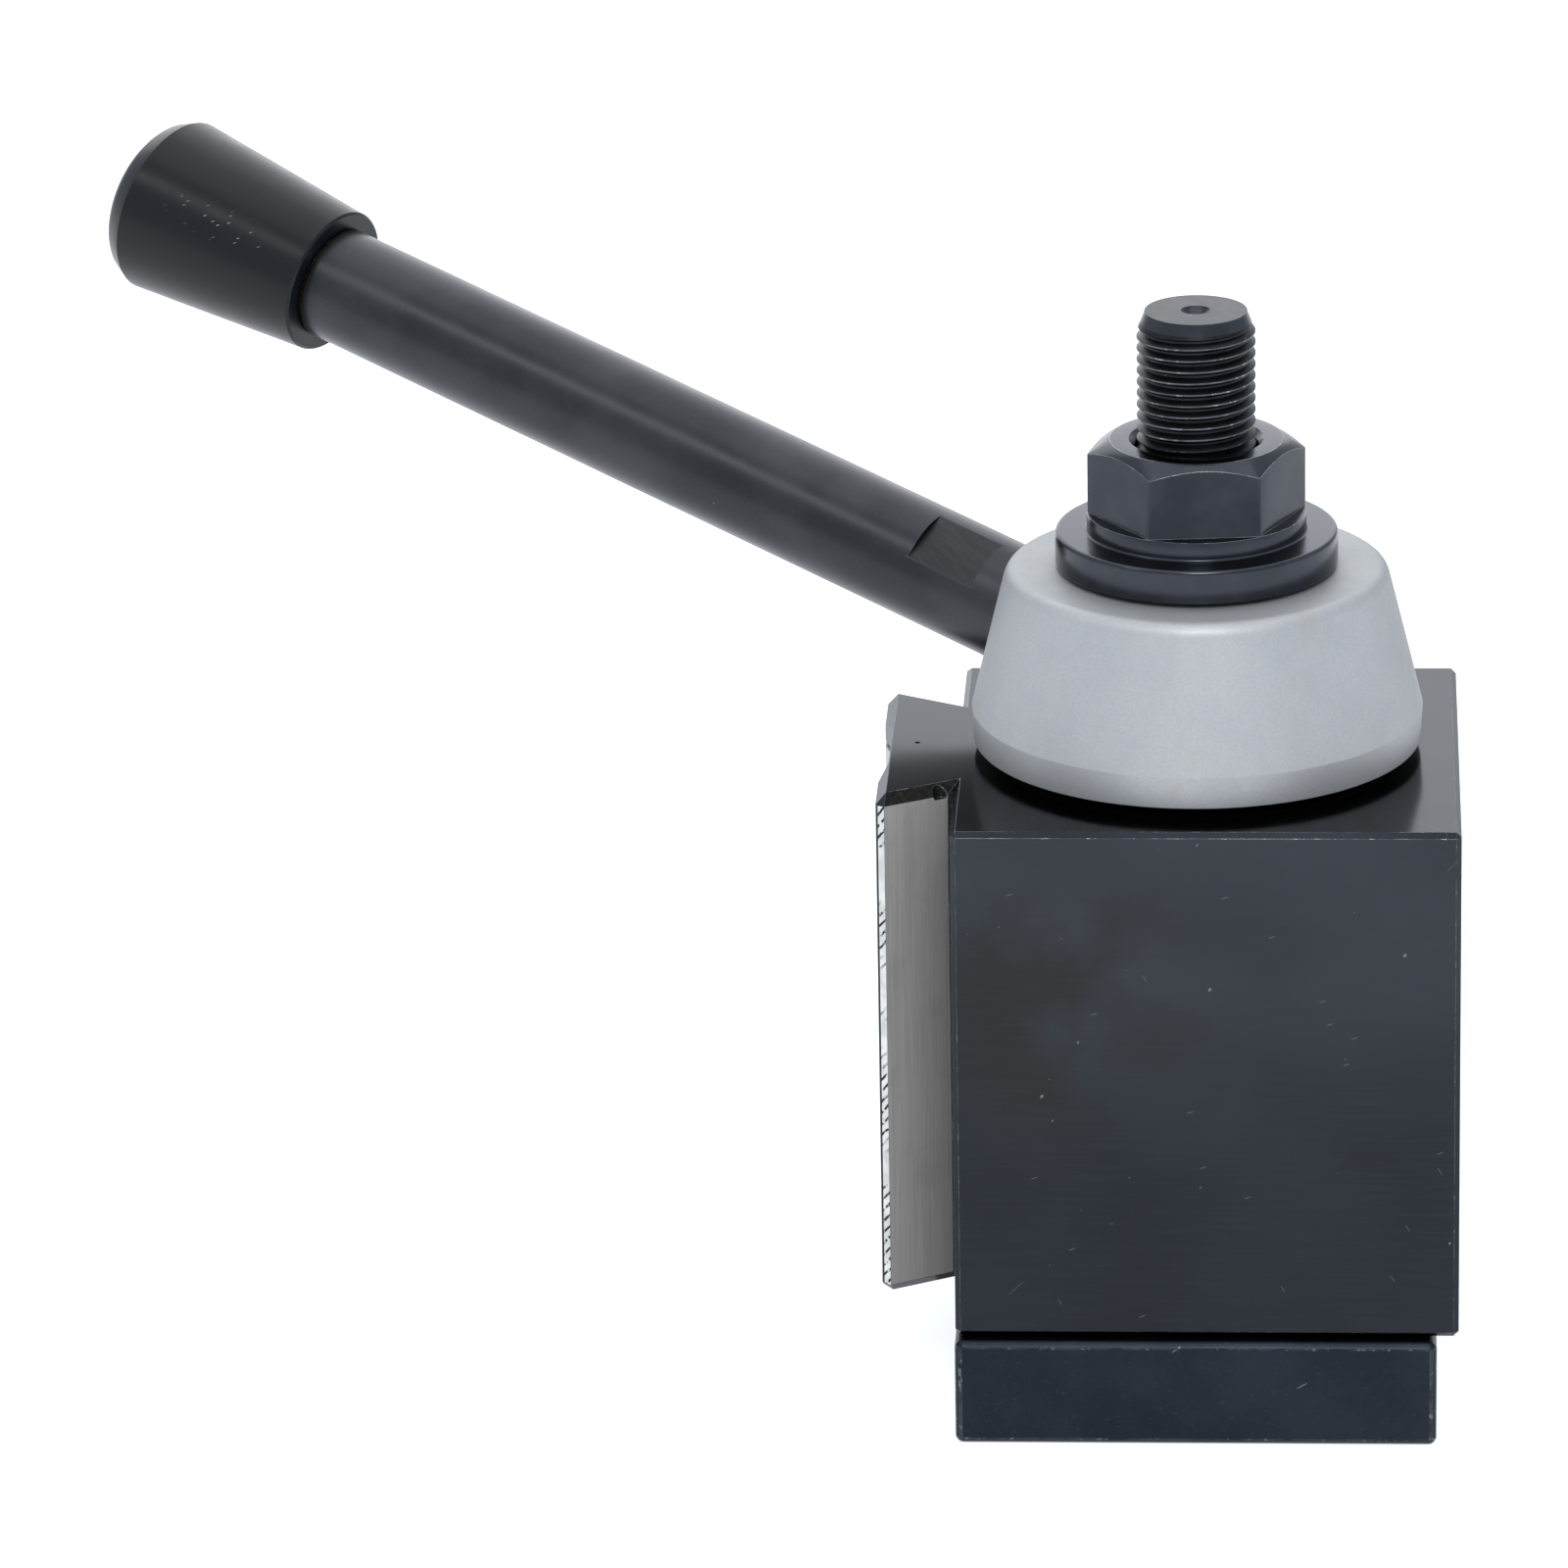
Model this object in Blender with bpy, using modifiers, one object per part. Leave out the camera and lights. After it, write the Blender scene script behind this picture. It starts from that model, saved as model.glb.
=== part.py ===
"""Quick-change lathe tool post: a steel block with two male dovetails, each locked by a sliding wedge gib.

The origin is on the clamp stud's axis, at the underside of the T-nut. The stud's axis is +Z. The left
dovetail faces -X and the rear dovetail faces +Y.
"""
import math

import bmesh
import bpy
from mathutils import Euler, Matrix, Vector

MM = 0.001

# Clearances: GAP between pieces that touch, SLIDE_GAP where a gib also moves sideways
GAP = 0.3 * MM
SLIDE_GAP = 0.7 * MM

# T-nut
TNUT_WIDTH = 73.0 * MM
TNUT_LENGTH = 83.4 * MM
TNUT_THICKNESS = 16.8 * MM
TNUT_CHAMFER = 0.8 * MM
TNUT_HOLE_FLOOR = 3.0 * MM

# Block
BLOCK_SIDE = 76.2 * MM
BLOCK_HEIGHT = 81.1 * MM
BLOCK_CHAMFER = 0.8 * MM
BORE_OFFSET = 1.7 * MM

# Dovetails
DOVETAIL_HEIGHT = 11.8 * MM
DOVETAIL_ROOT = 35.6 * MM
DOVETAIL_CHAMFER = 1.6 * MM
ROOT_CHAMFER = 1.2 * MM
FLANK_ANGLE = math.radians(30)
RELIEF_DEPTH = 1.4 * MM
RELIEF_FLOOR = 16.0 * MM
RELIEF_RAMP = 5.0 * MM
ROOF = 4.0 * MM
ROOF_CHAMFER = 0.3 * MM

# Wedge gibs
WEDGE_ANGLE = math.radians(7)
WEDGE_OFFSET = 7.5 * MM
GIB_UP_ROOM = 0.8 * MM
GIB_DOWN_ROOM = 4.5 * MM
LIP = 3.0 * MM
HEAD_OVERHANG = 3.7 * MM
HEAD_DEPTH = 3.5 * MM
TONGUE_REACH = 9.9 * MM
TONGUE_WIDTH = 13.5 * MM
TONGUE_HEIGHT = 20.0 * MM

# Bores of the block
WEB = 9.0 * MM
BEARING_SEAT_DEPTH = 15.0 * MM
BEARING_LIP = 1.8 * MM
SNAP_GROOVE_DEPTH = 3.2 * MM
SNAP_THICKNESS = 1.6 * MM
SNAP_BITE = 1.0 * MM
SNAP_WIDTH = 2.2 * MM
SNAP_SPLIT = 4.0 * MM
SNAP_ROOM = 1.6 * MM

# Clamp stud
STUD_RADIUS = 9.0 * MM
STUD_END_CHAMFER = 1.3 * MM
STUD_END_TAPER = 3.2 * MM
STUD_TOP = 69.2 * MM
THREAD_PITCH = 1.77 * MM
THREAD_DEPTH = 0.95 * MM
THREAD_COUNT = 12
CENTRE_DRILL_RADIUS = 2.25 * MM
CENTRE_DRILL_DEPTH = 2.4 * MM

# Centre sleeve
SLEEVE_WALL = 2.7 * MM
SLEEVE_FLANGE_STEP = 1.0 * MM
SLEEVE_FLANGE = 4.0 * MM
SLEEVE_PROUD = 0.3 * MM

# Drive screw
SCREW_WALL = 3.7 * MM
SCREW_JOURNAL_STEP = 4.0 * MM
SCREW_COLLAR_STEP = 2.5 * MM
SCREW_COLLAR = 4.0 * MM
WASHER_THICKNESS = 1.5 * MM
BEARING_WALL = 4.4 * MM
BEARING_DEPTH = 20.0 * MM

# Lift ring
RING_HEIGHT = 14.0 * MM
RING_WALL = 3.1 * MM
RING_FLANGE = 5.0 * MM
RING_UP_ROOM = 9.8 * MM
GUIDE_PIN_RADIUS = 1.5 * MM
GUIDE_PIN_SEAT = 6.0 * MM
GUIDE_PIN_UP_ROOM = 2.8 * MM

# Hub
HUB_BOTTOM = 1.8 * MM
HUB_BAND_TOP = 6.8 * MM
HUB_TOP = 29.0 * MM
HUB_BOTTOM_RADIUS = 34.0 * MM
HUB_BAND_RADIUS = 34.3 * MM
HUB_SHOULDER_RADIUS = 29.35 * MM
HUB_SHOULDER = 2.6 * MM
HUB_WEB = 9.1 * MM
HUB_SCREW_COUNT = 3
HUB_SCREW_HEAD_RADIUS = 3.2 * MM
HUB_SCREW_HEAD = 3.4 * MM
HUB_SCREW_RADIUS = 1.9 * MM
HUB_SCREW_LENGTH = 12.0 * MM
HEX_SOCKET = 1.6 * MM
SEAL_MARGIN = 2.2 * MM
SEAL_SECTION = 0.6 * MM

# Lever
LEVER_AZIMUTH = math.radians(32)
LEVER_RISE = math.radians(13.37)
LEVER_CROSSING = 8.58 * MM
LEVER_RADIUS = 9.11 * MM
LEVER_SEAT = 31.4 * MM
LEVER_THREAD_RADIUS = 7.9 * MM
LEVER_THREAD = 8.8 * MM
LEVER_END = 168.2 * MM
LEVER_CHAMFER = 0.8 * MM
FLAT_START = 37.8 * MM
FLAT_LENGTH = 11.9 * MM
FLAT_DISTANCE = 8.0 * MM
FLAT_TURN = math.radians(54.6)

# Knob
KNOB_LENGTH = 39.6 * MM
KNOB_SMALL_RADIUS = 11.85 * MM
KNOB_BIG_RADIUS = 14.45 * MM
KNOB_RIM = 5.8 * MM
KNOB_DOME = 1.5 * MM
KNOB_STUD_RADIUS = 5.9 * MM
KNOB_STUD = 23.0 * MM
INSERT_WALL = 2.4 * MM

# Flanged nut
NUT_FLANGE_RADIUS = 21.4 * MM
NUT_FLANGE = 5.3 * MM
NUT_FLANGE_CHAMFER = 0.6 * MM
NUT_COLLAR = 2.9 * MM
NUT_HEX_FLATS = 28.8 * MM
NUT_HEX = 11.3 * MM
NUT_TOP_RADIUS = 13.1 * MM
NUT_TOP_CONE = math.radians(31.5)
NUT_TURN = math.radians(5.75)
NUT_COUNTERSINK = 0.9 * MM

# Heights and places worked out from the sizes above
BLOCK_BOTTOM = TNUT_THICKNESS + GAP
BLOCK_TOP = BLOCK_BOTTOM + BLOCK_HEIGHT
FACE = BLOCK_SIDE / 2 - BORE_OFFSET
CREST = FACE + DOVETAIL_HEIGHT
ROOT_HALF = DOVETAIL_ROOT / 2
CREST_HALF = ROOT_HALF + DOVETAIL_HEIGHT * math.tan(FLANK_ANGLE)
RELIEF_HALF = RELIEF_FLOOR / 2
GIB_BOTTOM = BLOCK_BOTTOM + GIB_DOWN_ROOM
GIB_ROOF = BLOCK_TOP - ROOF
GIB_TOP = GIB_ROOF - GIB_UP_ROOM
HEAD_OUTER = FACE - LIP
HEAD_INNER = HEAD_OUTER - HEAD_DEPTH
TONGUE_INNER = HEAD_INNER - TONGUE_REACH
STUD_HOLE_RADIUS = STUD_RADIUS + GAP
SLEEVE_RADIUS = STUD_HOLE_RADIUS + SLEEVE_WALL
SCREW_BORE_RADIUS = SLEEVE_RADIUS + GAP
SCREW_RADIUS = SCREW_BORE_RADIUS + SCREW_WALL
SLEEVE_FLANGE_RADIUS = SCREW_RADIUS + SLEEVE_FLANGE_STEP
SCREW_JOURNAL_RADIUS = SCREW_RADIUS + SCREW_JOURNAL_STEP
SCREW_COLLAR_RADIUS = SCREW_JOURNAL_RADIUS + SCREW_COLLAR_STEP
CAVITY_RADIUS = SCREW_JOURNAL_RADIUS + GAP + BEARING_WALL + GAP
WEB_TOP = BLOCK_BOTTOM + WEB
SLEEVE_FLANGE_TOP = WEB_TOP + GAP + SLEEVE_FLANGE
LOWER_WASHER_BOTTOM = SLEEVE_FLANGE_TOP + GAP
SCREW_BOTTOM = LOWER_WASHER_BOTTOM + WASHER_THICKNESS + GAP
BEARING_RADIUS = CAVITY_RADIUS + BEARING_LIP
BEARING_BOTTOM = BLOCK_TOP - BEARING_DEPTH
BEARING_LEDGE = BLOCK_TOP - BEARING_SEAT_DEPTH
COLLAR_TOP = BEARING_BOTTOM - GAP
COLLAR_BOTTOM = COLLAR_TOP - SCREW_COLLAR
RING_CENTRE = COLLAR_BOTTOM - RING_UP_ROOM - RING_HEIGHT / 2
GUIDE_PIN_TOP = COLLAR_BOTTOM - GUIDE_PIN_UP_ROOM
SNAP_TOP = BLOCK_TOP - SNAP_GROOVE_DEPTH
SNAP_BOTTOM = SNAP_TOP - SNAP_THICKNESS
BEARING_TOP = SNAP_BOTTOM - GAP
SNAP_RADIUS = BEARING_RADIUS + SNAP_BITE
HUB_SPIGOT_RADIUS = SNAP_RADIUS - SNAP_WIDTH - SNAP_ROOM
SEAL_RADIUS = SNAP_RADIUS + SEAL_MARGIN
UPPER_WASHER_TOP = BEARING_TOP + GAP + WASHER_THICKNESS
SPIGOT_BOTTOM = UPPER_WASHER_TOP + GAP
HUB_TOP_HEIGHT = BLOCK_TOP + HUB_TOP
HUB_WEB_BOTTOM = HUB_TOP_HEIGHT - HUB_WEB
SCREW_TOP = HUB_WEB_BOTTOM - GAP
SLEEVE_TOP = HUB_TOP_HEIGHT + SLEEVE_PROUD
NUT_BOTTOM = SLEEVE_TOP + GAP
HUB_SCREW_CIRCLE = (SCREW_BORE_RADIUS + SCREW_JOURNAL_RADIUS) / 2
GUIDE_PIN_CIRCLE = (SCREW_RADIUS + GAP + RING_WALL + CAVITY_RADIUS - GAP) / 2
GUIDE_PIN_PLACE = math.radians(-45)
LEFT_TURN = math.pi
REAR_TURN = math.pi / 2

# Modelling: how far a cutter runs past a face, and how many sides round pieces have
PAST = 4.0 * MM
MERGE = 0.01 * MM
ROUND = 40
SMALL_ROUND = 18
HUB_ROUND = 56
ARC_STEPS = 5
SEAL_SIDES = 6


def clear_scene():
    for old in list(bpy.data.objects):
        bpy.data.objects.remove(old, do_unlink=True)


def new_group(name):
    group = bpy.data.collections.new(name)
    bpy.context.scene.collection.children.link(group)
    return group


def new_material(name, colour, roughness, metallic):
    finish = bpy.data.materials.new(name)
    finish.use_nodes = True
    shader = finish.node_tree.nodes["Principled BSDF"]
    shader.inputs["Base Color"].default_value = (*colour, 1.0)
    shader.inputs["Roughness"].default_value = roughness
    shader.inputs["Metallic"].default_value = metallic
    return finish


def place(name, mesh, group, finish=None):
    piece = bpy.data.objects.new(name, mesh)
    group.objects.link(piece)
    if finish:
        mesh.materials.append(finish)
    return piece


def as_cutter(piece):
    piece.hide_render = True
    piece.display_type = "WIRE"
    return piece


def combine(piece, other, operation="DIFFERENCE"):
    step = piece.modifiers.new(other.name, "BOOLEAN")
    step.operation = operation
    step.solver = "EXACT"
    step.object = other


def turn_about_z(piece, sides):
    turn = piece.modifiers.new("Turn", "SCREW")
    turn.steps = sides
    turn.render_steps = sides
    turn.use_merge_vertices = True
    turn.merge_threshold = MERGE


def turned(name, profile, group, finish=None, sides=ROUND):
    """Profile points are (radius, height), down the outer side first. A ring's profile closes on itself."""
    mesh = bpy.data.meshes.new(name)
    shape = bmesh.new()
    points = [shape.verts.new((radius, 0, height)) for radius, height in profile]
    followers = points[1:] + points[:1]
    if profile[0][0] == 0:
        followers = points[1:]
    for start, end in zip(points, followers):
        shape.edges.new((start, end))
    shape.to_mesh(mesh)
    shape.free()
    piece = place(name, mesh, group, finish)
    turn_about_z(piece, sides)
    return piece


def ring(name, inner, outer, bottom, top, group, finish=None, sides=ROUND):
    profile = [(outer, top), (outer, bottom), (inner, bottom), (inner, top)]
    return turned(name, profile, group, finish, sides)


def rod(name, radius, bottom, top, group, finish=None, sides=ROUND):
    return turned(name, [(0, top), (radius, top), (radius, bottom), (0, bottom)], group, finish, sides)


def box(name, low, high, group, finish=None):
    middle = (Vector(low) + Vector(high)) / 2
    size = Vector(high) - Vector(low)
    mesh = bpy.data.meshes.new(name)
    shape = bmesh.new()
    bmesh.ops.create_cube(shape, size=1, matrix=Matrix.Translation(middle) @ Matrix.Diagonal((*size, 1)))
    shape.to_mesh(mesh)
    shape.free()
    return place(name, mesh, group, finish)


def prism(name, outline, bottom, top, group, finish=None):
    """A flat outline of (x, y) points, drawn as a filled curve and given height."""
    curve = bpy.data.curves.new(name, "CURVE")
    curve.dimensions = "2D"
    curve.fill_mode = "BOTH"
    curve.extrude = (top - bottom) / 2
    line = curve.splines.new("POLY")
    line.points.add(len(outline) - 1)
    line.use_cyclic_u = True
    for point, (x, y) in zip(line.points, outline):
        point.co = (x, y, 0, 1)
    drawn = bpy.data.objects.new(name, curve)
    group.objects.link(drawn)
    drawn.location.z = (top + bottom) / 2
    bpy.context.view_layer.update()
    mesh = bpy.data.meshes.new_from_object(drawn.evaluated_get(bpy.context.evaluated_depsgraph_get()))
    mesh.transform(drawn.matrix_world)
    bpy.data.objects.remove(drawn, do_unlink=True)
    bpy.data.curves.remove(curve)
    shape = bmesh.new()
    shape.from_mesh(mesh)
    bmesh.ops.remove_doubles(shape, verts=shape.verts, dist=MERGE)
    bmesh.ops.dissolve_limit(shape, angle_limit=math.radians(1), verts=shape.verts, edges=shape.edges)
    shape.to_mesh(mesh)
    shape.free()
    return place(name, mesh, group, finish)


def dovetail_outline():
    """The part of the block's outline that one dovetail makes, as (outward, sideways) points."""
    return [(FACE, -ROOT_HALF), (CREST, -CREST_HALF), (CREST, CREST_HALF), (FACE, ROOT_HALF)]


def crest_relief(name, angle, group):
    """What is milled out along the middle of a crest once its edges are chamfered."""
    deep = CREST - RELIEF_DEPTH
    proud = CREST + RELIEF_DEPTH
    wide = RELIEF_HALF + 2 * RELIEF_RAMP
    outline = [(deep, -RELIEF_HALF), (proud, -wide), (proud, wide), (deep, RELIEF_HALF)]
    relief = prism(name, outline, BLOCK_BOTTOM - PAST, BLOCK_TOP + PAST, group)
    relief.rotation_euler = Euler((0, 0, angle))
    return as_cutter(relief)


def turned_outline(outline, angle):
    return [(x * math.cos(angle) - y * math.sin(angle), x * math.sin(angle) + y * math.cos(angle))
            for x, y in outline]


def block_outline():
    near = BLOCK_SIDE - FACE
    corners = [(-FACE, -near), (near, -near), (near, FACE)]
    rear = turned_outline(dovetail_outline(), REAR_TURN)
    left = turned_outline(dovetail_outline(), LEFT_TURN)
    return corners + rear + [(-FACE, FACE)] + left


def mark_chamfers(mesh):
    """Each outer edge gets its own share of the widest chamfer."""
    shape = bmesh.new()
    shape.from_mesh(mesh)
    share = shape.edges.layers.float.new("bevel_weight_edge")
    for edge in shape.edges:
        start, end = (vertex.co for vertex in edge.verts)
        upright = abs(start.z - end.z) > BLOCK_HEIGHT / 2
        chamfer = upright_chamfer(start) if upright else level_chamfer(start, end)
        edge[share] = chamfer / DOVETAIL_CHAMFER
    shape.to_mesh(mesh)
    shape.free()


def outward(corner):
    return max(-corner.x, corner.y)


def on_gib_side(corner):
    return corner.x > 0 or (corner.x < -FACE + GAP and corner.y > 0)


def level_chamfer(start, end):
    """Chamfer of a top or bottom edge. The edges of the flanks over the gibs are only broken."""
    near, far = sorted((outward(start), outward(end)))
    if far < FACE + GAP:
        return BLOCK_CHAMFER
    if near < FACE + GAP and on_gib_side(start):
        return ROOF_CHAMFER
    return DOVETAIL_CHAMFER


def upright_chamfer(corner):
    """Chamfer of the upright edge at a corner of the outline. The gibs' side of each root stays sharp."""
    out = outward(corner)
    side = min(abs(corner.x), abs(corner.y))
    at_crest = out > CREST - GAP
    at_root = abs(out - FACE) < GAP and abs(side - ROOT_HALF) < GAP
    if at_crest and side > CREST_HALF - GAP:
        return DOVETAIL_CHAMFER
    if out > FACE + GAP:
        return 0
    if at_root:
        return 0 if on_gib_side(corner) else ROOT_CHAMFER
    return BLOCK_CHAMFER


def wedge_face_offset(height):
    """How far the wedge face lies from the dovetail's middle at a height. It moves outwards going down."""
    middle = BLOCK_BOTTOM + BLOCK_HEIGHT / 2
    return WEDGE_OFFSET + (middle - height) * math.tan(WEDGE_ANGLE)


def behind_wedge(name, clearance, group):
    """Everything on the dovetail's middle side of the wedge face, as one slanted slab."""
    deep = CREST + PAST
    slab = box(name, (0, 0, BLOCK_BOTTOM - PAST), (deep, deep, BLOCK_TOP + PAST), group)
    for vertex in slab.data.vertices:
        if vertex.co.y < deep / 2:
            vertex.co.y = -wedge_face_offset(vertex.co.z) - clearance / math.cos(WEDGE_ANGLE)
    return as_cutter(slab)


def gib_outline():
    """Outline of a gib as (outward, sideways), with its back still at the dovetail's middle."""
    chamfer_out = DOVETAIL_CHAMFER * math.cos(FLANK_ANGLE)
    chamfer_side = DOVETAIL_CHAMFER * math.sin(FLANK_ANGLE)
    steps = [(HEAD_INNER, 0),
             (CREST - RELIEF_DEPTH, 0),
             (CREST - RELIEF_DEPTH, RELIEF_HALF),
             (CREST, RELIEF_HALF + RELIEF_RAMP),
             (CREST, CREST_HALF - DOVETAIL_CHAMFER),
             (CREST - chamfer_out, CREST_HALF - chamfer_side),
             (FACE, ROOT_HALF),
             (HEAD_OUTER, ROOT_HALF),
             (HEAD_OUTER, ROOT_HALF + HEAD_OVERHANG),
             (HEAD_INNER, ROOT_HALF + HEAD_OVERHANG)]
    return [(out, -side) for out, side in reversed(steps)]


def pocket_outline():
    """Outline of the space that a gib slides in, as (outward, sideways)."""
    far = CREST + 2 * PAST
    mouth = ROOT_HALF + SLIDE_GAP
    steps = [(HEAD_INNER - GAP, 0),
             (far, 0),
             (far, mouth + (far - FACE) * math.tan(FLANK_ANGLE)),
             (FACE, mouth),
             (HEAD_OUTER + GAP, mouth),
             (HEAD_OUTER + GAP, ROOT_HALF + HEAD_OVERHANG + SLIDE_GAP),
             (HEAD_INNER - GAP, ROOT_HALF + HEAD_OVERHANG + SLIDE_GAP)]
    return [(out, -side) for out, side in reversed(steps)]


def gib_pocket(name, angle, group):
    low_end = BLOCK_BOTTOM - PAST
    pocket = prism(name, pocket_outline(), low_end, GIB_ROOF, group)
    tongue_top = RING_CENTRE + TONGUE_HEIGHT / 2 + GIB_UP_ROOM
    window_low = (TONGUE_INNER - PAST, -TONGUE_WIDTH - SLIDE_GAP, low_end)
    window = as_cutter(box(name + "_window", window_low, (HEAD_INNER + GAP, 0, tongue_top), group))
    combine(pocket, window, "UNION")
    combine(pocket, behind_wedge(name + "_way", 0, group))
    for part in group.objects:
        if part.name.startswith(name):
            part.rotation_euler = Euler((0, 0, angle))
    return as_cutter(pocket)


def make_gib(name, angle, group, cutters, finish):
    gib = prism(name, gib_outline(), GIB_BOTTOM, GIB_TOP, group, finish)
    half = TONGUE_HEIGHT / 2
    tongue_low = (TONGUE_INNER, -TONGUE_WIDTH, RING_CENTRE - half)
    tongue = box(name + "_tongue", tongue_low, (HEAD_INNER + GAP, 0, RING_CENTRE + half), cutters)
    slot_half = RING_FLANGE / 2 + GAP
    slot_low = (TONGUE_INNER - PAST, -TONGUE_WIDTH - PAST, RING_CENTRE - slot_half)
    slot_depth = CAVITY_RADIUS - GAP + SLIDE_GAP
    slot = box(name + "_slot", slot_low, (slot_depth, PAST, RING_CENTRE + slot_half), cutters)
    combine(gib, as_cutter(tongue), "UNION")
    combine(gib, as_cutter(slot))
    combine(gib, behind_wedge(name + "_back", GAP, cutters))
    for part in [gib] + [c for c in cutters.objects if c.name.startswith(name + "_")]:
        part.rotation_euler = Euler((0, 0, angle))
    return gib


def make_block(group, cutters, finish):
    block = prism("post_body", block_outline(), BLOCK_BOTTOM, BLOCK_TOP, group, finish)
    mark_chamfers(block.data)
    chamfer = block.modifiers.new("Chamfers", "BEVEL")
    chamfer.width = DOVETAIL_CHAMFER
    chamfer.segments = 1
    chamfer.limit_method = "WEIGHT"
    bore_profile = [(0, BLOCK_TOP + PAST),
                    (BEARING_RADIUS + GAP, BLOCK_TOP + PAST),
                    (BEARING_RADIUS + GAP, SNAP_TOP + GAP),
                    (SNAP_RADIUS + GAP, SNAP_TOP + GAP),
                    (SNAP_RADIUS + GAP, SNAP_BOTTOM - GAP),
                    (BEARING_RADIUS + GAP, SNAP_BOTTOM - GAP),
                    (BEARING_RADIUS + GAP, BEARING_LEDGE),
                    (CAVITY_RADIUS, BEARING_LEDGE),
                    (CAVITY_RADIUS, WEB_TOP),
                    (SLEEVE_RADIUS + GAP, WEB_TOP),
                    (SLEEVE_RADIUS + GAP, BLOCK_BOTTOM - PAST),
                    (0, BLOCK_BOTTOM - PAST)]
    combine(block, crest_relief("left_relief", LEFT_TURN, cutters))
    combine(block, crest_relief("rear_relief", REAR_TURN, cutters))
    combine(block, as_cutter(turned("bore", bore_profile, cutters)))
    combine(block, gib_pocket("left_pocket", LEFT_TURN, cutters))
    combine(block, gib_pocket("rear_pocket", REAR_TURN, cutters))
    pin_hole = rod("guide_pin_hole", GUIDE_PIN_RADIUS + GAP, WEB_TOP - GUIDE_PIN_SEAT - GAP,
                   WEB_TOP + PAST, cutters, sides=SMALL_ROUND)
    pin_hole.location = guide_pin_place()
    combine(block, as_cutter(pin_hole))
    return block


def guide_pin_place():
    return (GUIDE_PIN_CIRCLE * math.cos(GUIDE_PIN_PLACE), GUIDE_PIN_CIRCLE * math.sin(GUIDE_PIN_PLACE), 0)


def make_tnut(group, cutters, finish):
    half_width = TNUT_WIDTH / 2
    half_length = TNUT_LENGTH / 2
    low = (-half_width, -half_length, 0)
    tnut = box("t_nut", low, (half_width, half_length, TNUT_THICKNESS), group, finish)
    chamfer = tnut.modifiers.new("Chamfers", "BEVEL")
    chamfer.width = TNUT_CHAMFER
    chamfer.segments = 1
    hole = rod("stud_hole", STUD_HOLE_RADIUS, TNUT_HOLE_FLOOR, TNUT_THICKNESS + PAST, cutters)
    combine(tnut, as_cutter(hole))
    return tnut


def make_stud(group, finish):
    top = BLOCK_TOP + STUD_TOP
    thread_top = top - STUD_END_TAPER
    root = STUD_RADIUS - THREAD_DEPTH
    drill_point = top - CENTRE_DRILL_DEPTH
    profile = [(0, drill_point),
               (CENTRE_DRILL_RADIUS, top),
               (STUD_RADIUS - STUD_END_CHAMFER, top),
               (STUD_RADIUS, thread_top)]
    for turn in range(THREAD_COUNT):
        start = thread_top - turn * THREAD_PITCH
        profile.append((root, start - THREAD_PITCH / 2))
        profile.append((STUD_RADIUS, start - THREAD_PITCH))
    profile.append((STUD_RADIUS, TNUT_HOLE_FLOOR + GAP + STUD_END_CHAMFER))
    profile.append((STUD_RADIUS - STUD_END_CHAMFER, TNUT_HOLE_FLOOR + GAP))
    profile.append((0, TNUT_HOLE_FLOOR + GAP))
    return turned("clamp_stud", profile, group, finish)


def make_sleeve(group, finish):
    profile = [(SLEEVE_RADIUS, SLEEVE_TOP),
               (SLEEVE_RADIUS, SLEEVE_FLANGE_TOP),
               (SLEEVE_FLANGE_RADIUS, SLEEVE_FLANGE_TOP),
               (SLEEVE_FLANGE_RADIUS, WEB_TOP + GAP),
               (SLEEVE_RADIUS, WEB_TOP + GAP),
               (SLEEVE_RADIUS, BLOCK_BOTTOM),
               (STUD_HOLE_RADIUS, BLOCK_BOTTOM),
               (STUD_HOLE_RADIUS, SLEEVE_TOP)]
    return turned("centre_sleeve", profile, group, finish)


def make_drive_screw(group, cutters, finish):
    profile = [(SCREW_JOURNAL_RADIUS, SCREW_TOP),
               (SCREW_JOURNAL_RADIUS, COLLAR_TOP),
               (SCREW_COLLAR_RADIUS, COLLAR_TOP),
               (SCREW_COLLAR_RADIUS, COLLAR_BOTTOM),
               (SCREW_RADIUS, COLLAR_BOTTOM),
               (SCREW_RADIUS, SCREW_BOTTOM),
               (SCREW_BORE_RADIUS, SCREW_BOTTOM),
               (SCREW_BORE_RADIUS, SCREW_TOP)]
    screw = turned("drive_screw", profile, group, finish)
    for number in range(1, HUB_SCREW_COUNT + 1):
        hole = rod(f"screw_hole_{number}", HUB_SCREW_RADIUS + GAP, hub_screw_bottom() - GAP,
                   SCREW_TOP + PAST, cutters, sides=SMALL_ROUND)
        hole.location = hub_screw_place(number)
        combine(screw, as_cutter(hole))
    return screw


def hub_screw_place(number):
    angle = math.tau * number / HUB_SCREW_COUNT
    return (HUB_SCREW_CIRCLE * math.cos(angle), HUB_SCREW_CIRCLE * math.sin(angle), 0)


def hub_screw_head_bottom():
    return HUB_TOP_HEIGHT - HUB_SCREW_HEAD - 2 * GAP


def hub_screw_bottom():
    return hub_screw_head_bottom() - HUB_SCREW_LENGTH


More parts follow.
